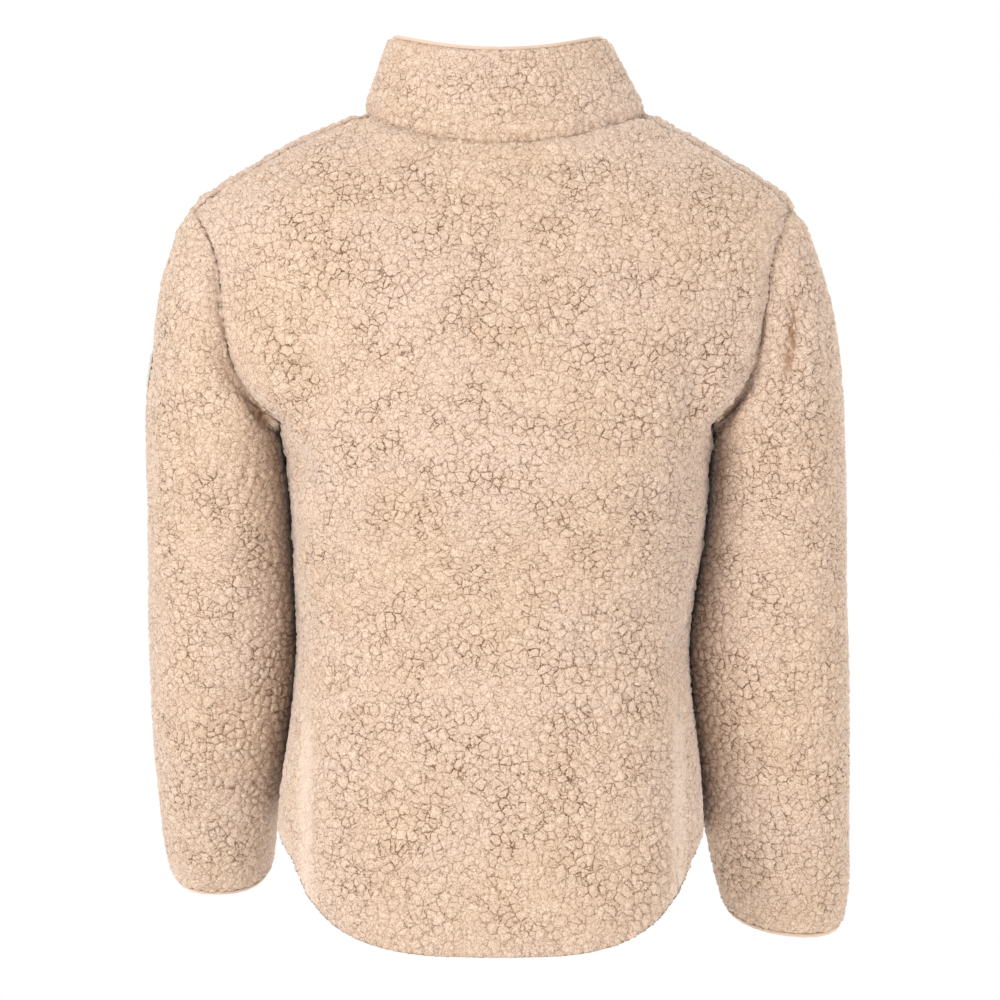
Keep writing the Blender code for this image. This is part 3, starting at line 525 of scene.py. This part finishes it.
def set_stage():
    scene = bpy.context.scene
    scene.view_settings.view_transform = "Standard"
    camera = bpy.data.objects.new("camera", bpy.data.cameras.new("camera"))
    scene.collection.objects.link(camera)
    camera.location = CAMERA_PLACE
    camera.data.sensor_width = CAMERA_SENSOR
    camera.data.lens = CAMERA_LENS
    camera.data.clip_end = CAMERA_REACH
    aim(camera, CAMERA_TARGET)
    scene.camera = camera
    world = bpy.data.worlds.new("studio")
    scene.world = world
    world.use_nodes = True
    back = world.node_tree.nodes["Background"]
    back.inputs["Color"].default_value = (1.0, 1.0, 1.0, 1.0)
    back.inputs["Strength"].default_value = 1.0
    for name, place, target, size, power in LIGHTS:
        lamp = bpy.data.objects.new(name, bpy.data.lights.new(name, "AREA"))
        lamp.data.size = size
        lamp.data.energy = power
        lamp.location = place
        scene.collection.objects.link(lamp)
        aim(lamp, target)
    bpy.ops.mesh.primitive_circle_add(
        vertices=96, radius=FLOOR_RADIUS, fill_type="NGON", location=FLOOR_PLACE
    )
    floor = bpy.context.object
    floor.name = "floor"
    floor.data.materials.append(floor_material())


# Cloth meshes


def unit(vectors):
    length = np.linalg.norm(vectors, axis=-1, keepdims=True)
    return vectors / np.maximum(length, 1e-12)


def eased(value):
    value = np.clip(value, 0, 1)
    return value * value * (3 - 2 * value)


def welded(node):
    """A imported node's points, each once, and its triangles."""
    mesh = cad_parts[node].data
    mesh.calc_loop_triangles()
    places = np.zeros(len(mesh.vertices) * 3)
    mesh.vertices.foreach_get("co", places)
    places = places.reshape(-1, 3)
    triangles = np.zeros(len(mesh.loop_triangles) * 3, np.int32)
    mesh.loop_triangles.foreach_get("vertices", triangles)
    keys = np.round(places * 1e6).astype(np.int64)
    _, first, index = np.unique(keys, axis=0, return_index=True, return_inverse=True)
    return places[first], index.reshape(-1)[triangles].reshape(-1, 3)


def face_normals(points, triangles):
    a, b, c = (points[triangles[:, i]] for i in range(3))
    return np.cross(b - a, c - a)


def edge_table(triangles, count):
    """Each edge once, and for each triangle the numbers of its three edges."""
    ends = np.concatenate([triangles[:, [0, 1]], triangles[:, [1, 2]], triangles[:, [2, 0]]])
    ends = np.sort(ends, axis=1)
    keys, index = np.unique(ends[:, 0].astype(np.int64) * count + ends[:, 1], return_inverse=True)
    edges = np.stack([keys // count, keys % count], axis=1)
    return edges, index.reshape(3, -1).T


def border(triangles, count):
    """The edges that only one of these triangles has."""
    edges, rows = edge_table(triangles, count)
    return edges[np.bincount(rows.ravel(), minlength=len(edges)) == 1]


def islands(points, triangles):
    """A number for each triangle: those that no sharp edge parts have the same one."""
    normals = unit(face_normals(points, triangles))
    edges, sides = edge_table(triangles, len(points))
    beside = [[] for _ in edges]
    for face, row in enumerate(sides):
        for edge in row:
            beside[edge].append(face)
    number = np.full(len(triangles), -1)
    found = 0
    for start in range(len(triangles)):
        if number[start] >= 0:
            continue
        number[start] = found
        queue = [start]
        while queue:
            face = queue.pop()
            for edge in sides[face]:
                for other in beside[edge]:
                    if number[other] < 0 and normals[face] @ normals[other] > math.cos(SHARP):
                        number[other] = found
                        queue.append(other)
        found += 1
    return number


def point_normals(points, triangles):
    normals = np.zeros_like(points)
    faces = face_normals(points, triangles)
    for corner in range(3):
        np.add.at(normals, triangles[:, corner], faces)
    return unit(normals)


def wall_sides(node, points, triangles):
    """Which triangles are the wall's outer face and which are its inner one."""
    number = islands(points, triangles)
    faces = face_normals(points, triangles)
    area = np.linalg.norm(faces, axis=1)
    sums = np.bincount(number, weights=area)
    first, second = np.argsort(sums)[::-1][:2]
    middle = points.mean(0) if node.startswith("sleeve") else np.zeros(3)
    centres = points[triangles].mean(1) - middle
    centres[:, 2] = 0
    outwards = (faces * centres).sum(1)
    if outwards[number == first].sum() < outwards[number == second].sum():
        first, second = second, first
    return number == first, number == second


def refined(points, normals, side, triangles, limits):
    """Splits long edges until none is over its limit, on a smooth surface through the points."""
    while True:
        edges, rows = edge_table(triangles, len(points))
        a, b = edges.T
        along = points[b] - points[a]
        length = np.linalg.norm(along, axis=1)
        limit = limits(side[a], side[b])
        split = length > limit
        if not split.any():
            return points, normals, side, triangles
        a, b, along = a[split], b[split], along[split]
        same = (np.abs(side[a] - side[b]) < 0.01)[:, None]
        na, nb = normals[a], normals[b]
        ta = along - (along * na).sum(1, keepdims=True) * na
        tb = along - (along * nb).sum(1, keepdims=True) * nb
        middle = (points[a] + points[b]) / 2 + np.where(same, (ta - tb) / 8, 0)
        square = (along**2).sum(1, keepdims=True)
        lean = 2 * (along * (na + nb)).sum(1, keepdims=True) / square
        curved = unit(unit(na + nb - lean * along) * 0.5 + (na + nb) * 0.25)
        new_normals = np.where(same, curved, unit(na + nb))
        number = np.full(len(edges), -1)
        number[split] = len(points) + np.arange(split.sum())
        points = np.concatenate([points, middle])
        normals = np.concatenate([normals, new_normals])
        side = np.concatenate([side, (side[a] + side[b]) / 2])
        triangles = divided(points, triangles, number[rows])


def divided(points, triangles, middle):
    """The triangles again, with each one that has new points on its edges cut at them."""
    count = (middle >= 0).sum(1)
    parts = [triangles[count == 0]]
    for turn in range(3):
        p = np.roll(triangles, -turn, axis=1)
        m = np.roll(middle, -turn, axis=1)
        one = (count == 1) & (m[:, 0] >= 0)
        q, s = p[one], m[one]
        parts += [np.stack([q[:, 0], s[:, 0], q[:, 2]], 1), np.stack([s[:, 0], q[:, 1], q[:, 2]], 1)]
        two = (count == 2) & (m[:, 2] < 0)
        q, s = p[two], m[two]
        parts.append(np.stack([s[:, 0], q[:, 1], s[:, 1]], 1))
        across = np.linalg.norm(points[q[:, 0]] - points[s[:, 1]], axis=1)
        other = np.linalg.norm(points[s[:, 0]] - points[q[:, 2]], axis=1)
        near = across < other
        u, v = q[near], s[near]
        parts += [np.stack([u[:, 0], v[:, 0], v[:, 1]], 1), np.stack([u[:, 0], v[:, 1], u[:, 2]], 1)]
        u, v = q[~near], s[~near]
        parts += [np.stack([u[:, 0], v[:, 0], u[:, 2]], 1), np.stack([v[:, 0], v[:, 1], u[:, 2]], 1)]
    q, s = triangles[count == 3], middle[count == 3]
    parts += [
        np.stack([q[:, 0], s[:, 0], s[:, 2]], 1),
        np.stack([s[:, 0], q[:, 1], s[:, 1]], 1),
        np.stack([s[:, 2], s[:, 1], q[:, 2]], 1),
        s,
    ]
    return np.concatenate(parts)


def place_tree(places):
    tree = KDTree(len(places))
    for number, place in enumerate(places):
        tree.insert(place, number)
    tree.balance()
    return tree


def nearest(points, places):
    """How far each point is from the nearest of these places."""
    if not len(places):
        return np.full(len(points), 1.0)
    tree = place_tree(places)
    return np.array([tree.find(point)[2] for point in points])


def mesh_object(name, points, triangles, materials, face_material=None):
    mesh = bpy.data.meshes.new(name)
    mesh.vertices.add(len(points))
    mesh.vertices.foreach_set("co", np.ascontiguousarray(points, np.float32).ravel())
    mesh.loops.add(triangles.size)
    mesh.loops.foreach_set("vertex_index", np.ascontiguousarray(triangles, np.int32).ravel())
    mesh.polygons.add(len(triangles))
    mesh.polygons.foreach_set("loop_start", np.arange(0, triangles.size, 3, dtype=np.int32))
    for material in materials:
        mesh.materials.append(material)
    if face_material is not None:
        mesh.polygons.foreach_set("material_index", face_material.astype(np.int32))
    mesh.update(calc_edges=True)
    mesh.shade_smooth()
    made = bpy.data.objects.new(name, mesh)
    bpy.context.scene.collection.objects.link(made)
    return made


def store(mesh, name, values):
    kind = "FLOAT_VECTOR" if values.ndim == 2 else "FLOAT"
    made = mesh.attributes.new(name, kind, "POINT")
    made.data.foreach_set("vector" if values.ndim == 2 else "value", values.astype(np.float32).ravel())


def pile_group():
    """Geometry nodes that raise the curds along each point's stored direction."""
    tree = bpy.data.node_groups.new("raise_pile", "GeometryNodeTree")
    tree.interface.new_socket(name="Geometry", in_out="INPUT", socket_type="NodeSocketGeometry")
    tree.interface.new_socket(name="Geometry", in_out="OUTPUT", socket_type="NodeSocketGeometry")
    t = Tree(tree)
    given = t.node("NodeGroupInput").outputs[0]
    named = {}
    kinds = (("rest", "FLOAT_VECTOR"), ("out", "FLOAT_VECTOR"), ("pile", "FLOAT"), ("wave", "FLOAT"))
    for name, kind in kinds:
        node = t.node("GeometryNodeInputNamedAttribute", data_type=kind)
        node.inputs["Name"].default_value = name
        named[name] = node.outputs["Attribute"]
    height = curd_height(t, named["rest"], named["out"])
    rise = t.math("MULTIPLY_ADD", height, PILE_DEPTH * MM, (PILE_TOP - PILE_DEPTH) * MM)
    offset = t.scaled(named["out"], t.math("MULTIPLY", rise, named["pile"]))
    aside = t.noise(named["rest"], 62.0, 3.0, 0.6)["Color"]
    aside = t.vector("SUBTRACT", aside, (0.5, 0.5, 0.5))
    aside = t.scaled(aside, t.math("MULTIPLY", named["wave"], SEAM_WAVE))
    offset = t.vector("ADD", offset, aside)
    moved = t.node("GeometryNodeSetPosition")
    t.put(moved.inputs["Geometry"], given)
    t.put(moved.inputs["Offset"], offset)
    t.put(t.node("NodeGroupOutput").inputs[0], moved.outputs[0])
    return tree


def applied(made):
    """The object with its modifiers made part of its mesh."""
    graph = bpy.context.evaluated_depsgraph_get()
    result = bpy.data.meshes.new_from_object(
        made.evaluated_get(graph), preserve_all_data_layers=True, depsgraph=graph
    )
    made.modifiers.clear()
    old = made.data
    made.data = result
    bpy.data.meshes.remove(old)
    result.name = made.name
    return made


def read_walls():
    """For each cloth node its points, triangles, sides, normals and the outer rim's edges."""
    walls = {}
    for node in SHEETS:
        points, triangles = welded(node)
        outer, inner = wall_sides(node, points, triangles)
        side = np.full(len(points), 0.5)
        side[np.unique(triangles[outer])] = 1.0
        side[np.unique(triangles[inner])] = 0.0
        normals = np.zeros_like(points)
        for faces, value in ((outer, 1.0), (inner, 0.0)):
            found = point_normals(points, triangles[faces])
            normals[side == value] = found[side == value]
        walls[node] = (points, triangles, side, normals, border(triangles[outer], len(points)))
    return walls


def spread_along(points, edges, step):
    """Places along these edges, no further than the step from each other."""
    a, b = points[edges[:, 0]], points[edges[:, 1]]
    most = int(np.ceil(np.linalg.norm(b - a, axis=1).max() / step)) + 1
    part = np.linspace(0, 1, most)[:, None, None]
    return (a + (b - a) * part).reshape(-1, 3)


def seam_kind(node, other, place):
    pair = node + other
    if "collar" in pair:
        return "collar"
    if "sleeve" in pair:
        return "armhole"
    return "shoulder" if place[2] > SHOULDER_LOW else "side"


def seam_places(node, walls):
    """Places along a piece's rim: those of each kind of seam, and those of its free edges."""
    rim = spread_along(walls[node][0], walls[node][4], 0.002)
    close = np.full(len(rim), SEWN_GAP * 4 * MM)
    kinds = np.full(len(rim), "free", dtype=object)
    for other, wall in walls.items():
        if other == node:
            continue
        found = nearest(rim, spread_along(wall[0], wall[4], 0.002))
        for number in np.flatnonzero(found < close):
            close[number] = found[number]
            kinds[number] = seam_kind(node, other, rim[number])
    return {kind: rim[kinds == kind] for kind in ("free", *SEAMS)}


def sewn_up(node, walls):
    """The piece's points, with those at a seam moved over its gap to the next piece."""
    points = walls[node][0].copy()
    others = [spread_along(wall[0], wall[4], 0.0005) for n, wall in walls.items() if n != node]
    others = np.concatenate(others)
    tree = place_tree(others)
    for number in np.unique(walls[node][4]):
        place, _, far = tree.find(points[number])
        if 1e-6 < far < SEWN_GAP * 2 * MM:
            points[number] += (np.array(place) - points[number]) * (0.5 + SEAM_LAP * MM / far)
    return points


def fold_depth(node, points, normals):
    """How far in, in mm, this piece's folds take each point, and how much shade is painted there."""
    depth = np.zeros(len(points))
    dark = np.zeros(len(points))
    flat = points[:, [0, 2]] / MM
    for piece, face, deep, wide, shade, line in FOLDS:
        if piece != node:
            continue
        line = np.array(line, float)
        steps = np.diff(line, axis=0)
        lengths = np.linalg.norm(steps, axis=1)
        ends = np.concatenate([[0], np.cumsum(lengths)])
        best = np.full(len(points), 1e9)
        share = np.zeros(len(points))
        for start, step, length, before in zip(line, steps, lengths, ends):
            along = np.clip((flat - start) @ step / length**2, 0, 1)
            far = np.linalg.norm(flat - start - along[:, None] * step, axis=1)
            nearer = far < best
            best[nearer] = far[nearer]
            share[nearer] = (before + along[nearer] * length) / ends[-1]
        weight = eased(np.minimum(share, 1 - share) / FOLD_ENDS) * eased(normals[:, 1] * face / 0.5)
        ridge = FOLD_RIDGE * np.exp(-(((best - RIDGE_AWAY * wide) / wide) ** 2))
        trough = np.exp(-((best / wide) ** 2)) - ridge
        depth += deep * trough * weight
        # Painted shade inside the fold
        dark = np.maximum(dark, shade * weight * np.exp(-((best / (0.7 * wide)) ** 2)))
    return depth, dark


def surface_places(wall):
    """Places spread over a wall's outer face."""
    points, triangles, side, _, _ = wall
    faces = triangles[side[triangles].min(1) > ON_OUTER]
    a, b, c = (points[faces[:, corner]] for corner in range(3))
    shares = [(i, j) for i in range(1, 6) for j in range(1, 6) if i + j < 7]
    return np.concatenate([a + (b - a) * (i - 0.5) / 6 + (c - a) * (j - 0.5) / 6 for i, j in shares])


def hidden_share(node, walls, points, normals):
    """How deep each point lies in the gap between a sleeve and the body, which is painted as shade
    into the pile's colour, and how far, in mm, the pile swells into it."""
    is_sleeve = node.startswith("sleeve")
    others = [w for n, w in walls.items() if n.startswith("sleeve") != is_sleeve and n != "collar"]
    tree = place_tree(np.concatenate([surface_places(wall) for wall in others]))
    share = np.zeros(len(points))
    swell = np.zeros(len(points))
    for number in np.flatnonzero(points[:, 2] < HIDDEN_TOP):
        place, _, far = tree.find(points[number])
        if far < HIDDEN_TO * MM:
            facing = normals[number] @ (np.array(place) - points[number]) / max(far, 1e-6)
            fade = 1 - eased((far / MM - HIDDEN_FROM) / (HIDDEN_TO - HIDDEN_FROM))
            share[number] = eased((facing - 0.1) / 0.5) * fade
            swell[number] = eased(facing / 0.6) * np.clip((far / MM - GAP_LEFT) / 2, 0, GAP_SWELL)
            swell[number] *= fade
    low = eased((HIDDEN_TOP - points[:, 2]) / 0.03)
    return share * low, swell * low


def mark_seam_edges(mesh, points, side, triangles, sewn):
    """Keeps the outer face's shading apart from the wall's thickness along the seams."""
    rim = border(triangles[side[triangles].min(1) > ON_OUTER], len(points))
    rim = rim[sewn[rim].all(1)]
    keys = set((rim[:, 0] * len(points) + rim[:, 1]).tolist())
    ends = np.zeros(len(mesh.edges) * 2, np.int32)
    mesh.edges.foreach_get("vertices", ends)
    ends = np.sort(ends.reshape(-1, 2), axis=1).astype(np.int64)
    sharp = np.isin(ends[:, 0] * len(points) + ends[:, 1], np.array(sorted(keys)))
    made = mesh.attributes.new("sharp_edge", "BOOLEAN", "EDGE")
    made.data.foreach_set("value", sharp)


def add_fleece(node, walls, group, materials):
    """A cloth piece again, finely divided, with its folds, seams, raised pile and backing."""
    _, triangles, side, normals, _ = walls[node]
    points = sewn_up(node, walls)
    places = seam_places(node, walls)
    limit = PILE_EDGE[node] * MM

    def limits(a, b):
        high, low = np.maximum(a, b), np.minimum(a, b)
        inner = np.where(high < ON_INNER, INNER_EDGE * MM, RIM_EDGE * MM)
        return np.where(low > ON_OUTER, limit, inner)

    points, normals, side, triangles = refined(points, normals, side, triangles, limits)
    outside = side > ON_OUTER
    to_free = nearest(points, places["free"])
    edge = 1 - np.clip(to_free / (EDGE_ROUND * MM), 0, 1)
    drop = EDGE_ROUND * 0.5 * (1 - np.sqrt(np.clip(1 - edge**2, 0, 1)))
    depth, dark = fold_depth(node, points, normals)
    drop += depth
    to_any = to_free
    seam = np.zeros(len(points))
    band = np.zeros(len(points))
    sewn = np.zeros(len(points), bool)
    wave = np.zeros(len(points))
    for kind, (dip, wide, roll, shade) in SEAMS.items():
        far = nearest(points, places[kind])
        to_any = np.minimum(to_any, far)
        near = 1 - eased(far / (wide * MM))
        sewn |= far < SEAM_NEAR * MM
        seam = np.maximum(seam, near)
        drop += dip * near - roll * np.exp(-(((far / MM - 1.5 * wide) / (0.6 * wide)) ** 2))
        # Painted shade inside the seam groove
        dark = np.maximum(dark, shade * (1 - np.clip(far / (0.45 * wide * MM), 0, 1)))
        wave = np.maximum(wave, 1 - eased(far / (2.2 * wide * MM)))
        if kind == "side":
            band = (1 - eased(far / (BAND_WIDTH * MM))) * eased((-0.45 - points[:, 2]) / 0.08)
    # Painted shade and swell where sleeve and body face each other
    gap_shade = np.zeros(len(points))
    if node != "collar":
        gap_shade, swell = hidden_share(node, walls, points, normals)
        drop -= swell
    drop = np.minimum(drop, WALL - LEAST_LEFT)
    moved = points - normals * np.where(outside, drop, 0)[:, None] * MM
    pile = eased((side - 0.2) / 0.6) * (1 - 0.15 * seam) * (1 - 0.6 * band)
    pile = np.minimum(pile, (WALL - LEAST_LEFT - drop) / (PILE_DEPTH - PILE_TOP))
    inner = side[triangles].mean(1) < 0.34
    made = mesh_object(f"{node}_fleece", moved, triangles, materials, inner)
    for name, values in (
        ("rest", points),
        ("out", normals),
        ("pile", pile),
        # Painted shade of the seam and fold grooves
        ("seam", np.where(outside, dark, 0)),
        ("band", np.where(outside, band, 0)),
        ("field", eased(to_any / (FIELD_WIDTH * MM))),
        # Painted shade of the gap between sleeve and body
        ("gap_shade", np.where(outside, gap_shade, 0)),
        ("wave", wave * eased(side) * eased(to_free / (FIELD_WIDTH * 0.3 * MM))),
    ):
        store(made.data, name, values)
    mark_seam_edges(made.data, points, side, triangles, sewn)
    raising = made.modifiers.new("raise", "NODES")
    raising.node_group = group
    applied(made)
    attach(made, "jacket")
    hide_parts(node)


def add_finished(node, name, materials, body, bevel=0.0):
    """A small CAD solid again, welded, with rounded edges and a finished material."""
    points, triangles = welded(node)
    made = mesh_object(name, points, triangles, materials)
    shape = bmesh.new()
    shape.from_mesh(made.data)
    bmesh.ops.dissolve_limit(shape, angle_limit=0.01, verts=shape.verts, edges=shape.edges)
    shape.to_mesh(made.data)
    shape.free()
    if bevel:
        rounding = made.modifiers.new("round", "BEVEL")
        rounding.width = bevel
        rounding.segments = 2
        rounding.limit_method = "ANGLE"
        rounding.angle_limit = math.radians(35)
        applied(made)
    made.data.shade_smooth()
    made.data.set_sharp_from_angle(angle=math.radians(50))
    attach(made, body)
    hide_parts(node)


def joined(shapes):
    """Points and triangles of many closed shapes as those of one mesh."""
    points, triangles, count = [], [], 0
    for some, faces in shapes:
        points.append(some)
        triangles.append(faces + count)
        count += len(some)
    return np.concatenate(points), np.concatenate(triangles)


def turned_out(points, faces):
    """A closed shape's points, and its faces turned so that they all face outwards."""
    middle = points.mean(0)
    a, b, c = (points[faces[:, corner]] - middle for corner in range(3))
    volume = (np.cross(a, b) * c).sum()
    return points, faces if volume > 0 else faces[:, ::-1]


def prism(outline, y_front, y_back):
    """Points and triangles of a flat convex outline in X and Z with some depth in Y."""
    size = len(outline)
    front = np.array([(x, y_front, z) for x, z in outline])
    points = np.concatenate([front, front + (0, y_back - y_front, 0)])
    faces = []
    for number in range(size):
        after = (number + 1) % size
        faces += [(number, after, size + after), (number, size + after, size + number)]
        if 0 < number < size - 1:
            faces += [(0, number + 1, number), (size, size + number, size + number + 1)]
    return turned_out(points, np.array(faces))


def bead_line(node):
    """Heights and depths along the middle of a tape's bead, from its lower end up."""
    points, _ = welded(node)
    inner = points[np.abs(points[:, 0]) < BEAD_HALF * MM] / MM
    inner = inner[np.argsort(inner[:, 2])]
    heights = np.round(inner[:, 2] / BEAD_STEP).astype(int)
    middles = []
    for height in np.unique(heights):
        row = inner[heights == height]
        if len(row) > 1:
            middles.append((row[:, 2].mean(), (row[:, 1].min() + row[:, 1].max()) / 2))
    return np.array(middles).T


def add_teeth(name, node, direction, shift, material):
    """One side's teeth. Above the slider they stand apart from the other side's."""
    heights, depths = bead_line(node)
    shapes = []
    for height in np.arange(CHAIN_END + shift, CHAIN_TOP, TOOTH_PITCH):
        if SLIDER_FOOT < height < SLIDER_TOP:
            continue
        depth = np.interp(height, heights, depths)
        apart = TOOTH_HEAD + TEETH_OPEN if height > SLIDER_FOOT else 0.0
        outline = []
        for x, z in TOOTH_OUTLINE:
            outline.append(((x + apart * (x < 1)) * direction * MM, (height + z) * MM))
        half = TOOTH_THICK / 2
        shapes.append(prism(outline, (depth - half) * MM, (depth + half) * MM))
    points, triangles = joined(shapes)
    made = mesh_object(name, points, triangles, [material])
    made.data.set_sharp_from_angle(angle=math.radians(40))
    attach(made, "jacket")


def capsule(start, end, normal, radius):
    """A stitch: thread that lies on the cloth and dips in at both ends."""
    along = end - start
    length = np.linalg.norm(along)
    along = along / length
    side = np.cross(along, normal)
    rings = []
    for share, size, lift in STITCH_RINGS:
        centre = start + along * length * share + normal * radius * lift
        for turn in range(STITCH_SIDES):
            angle = 2 * math.pi * turn / STITCH_SIDES
            rings.append(centre + (side * math.cos(angle) + normal * math.sin(angle)) * radius * size)
    faces = []
    for ring in range(len(STITCH_RINGS) - 1):
        for turn in range(STITCH_SIDES):
            a = ring * STITCH_SIDES + turn
            b = ring * STITCH_SIDES + (turn + 1) % STITCH_SIDES
            faces += [(a, b, b + STITCH_SIDES), (a, b + STITCH_SIDES, a + STITCH_SIDES)]
    last = (len(STITCH_RINGS) - 1) * STITCH_SIDES
    for turn in range(1, STITCH_SIDES - 1):
        faces += [(0, turn + 1, turn), (last, last + turn, last + turn + 1)]
    return turned_out(np.array(rings), np.array(faces))


def add_patch_stitches(material):
    """A row of stitches just inside the patch's border."""
    points, triangles = welded("sleeve_patch")
    faces = unit(face_normals(points, triangles))
    centre = points.mean(0)
    outwards = unit(np.array([centre[0] - SLEEVE_MIDDLE, centre[1], 0.0]))
    rim = border(triangles[faces @ outwards > 0.5], len(points))
    after = {}
    for a, b in rim:
        after.setdefault(a, []).append(b)
        after.setdefault(b, []).append(a)
    loop = [rim[0][0], rim[0][1]]
    while len(loop) < len(rim):
        loop.append([n for n in after[loop[-1]] if n != loop[-2]][0])
    line = points[loop]
    middle = line.mean(0)
    spread = np.linalg.norm(line - middle, axis=1, keepdims=True)
    line = line - (line - middle) / spread * STITCH_IN * 1.3 * MM
    normal = unit(faces[faces @ outwards > 0.5].sum(0))
    steps = np.linalg.norm(np.roll(line, -1, axis=0) - line, axis=1)
    total = np.concatenate([[0], np.cumsum(steps)])
    line = np.concatenate([line, line[:1]])
    shapes = []
    pitch = (STITCH_LENGTH + STITCH_GAP) * MM
    count = int(total[-1] / pitch)
    for number in range(count):
        ends = []
        for far in (number * total[-1] / count, number * total[-1] / count + STITCH_LENGTH * MM):
            ends.append(np.array([np.interp(far, total, line[:, axis]) for axis in range(3)]))
        shapes.append(capsule(ends[0], ends[1], normal, THREAD * MM))
    points, triangles = joined(shapes)
    made = mesh_object("sleeve_patch_stitches", points, triangles, [material])
    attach(made, "jacket")


def main():
    set_stage()
    pile = fleece_material()
    backing = backing_material()
    group = pile_group()
    walls = read_walls()
    for node in SHEETS:
        add_fleece(node, walls, group, [pile, backing])
    smooth = woven_material("smooth_band", colour(198, 168, 144), colour(220, 194, 172), 0.0009)
    tape = woven_material("tape_weave", colour(184, 154, 124), colour(208, 180, 150), 0.0011)
    patch = woven_material("patch_weave", colour(184, 179, 168), colour(204, 199, 188), 0.0008)
    metal = metal_material()
    teeth = teeth_material()
    for node in ("collar_edge", "cuff_edge_left", "cuff_edge_right"):
        add_finished(node, f"{node}_band", [smooth], "jacket", 0.0008)
    for node in ("zip_tape_left", "zip_tape_right"):
        add_finished(node, f"{node}_weave", [tape], "jacket")
    add_teeth("zip_teeth_left", "zip_tape_left", 1, 0.0, teeth)
    add_teeth("zip_teeth_right", "zip_tape_right", -1, TOOTH_PITCH / 2, teeth)
    add_finished("sleeve_patch", "sleeve_patch_cloth", [patch], "jacket", 0.0004)
    add_patch_stitches(patch)
    add_finished("zip_slider", "zip_slider_metal", [metal], "jacket", 0.0003)
    add_finished("zip_pull", "zip_pull_metal", [metal], "pull_tab", 0.0002)


main()
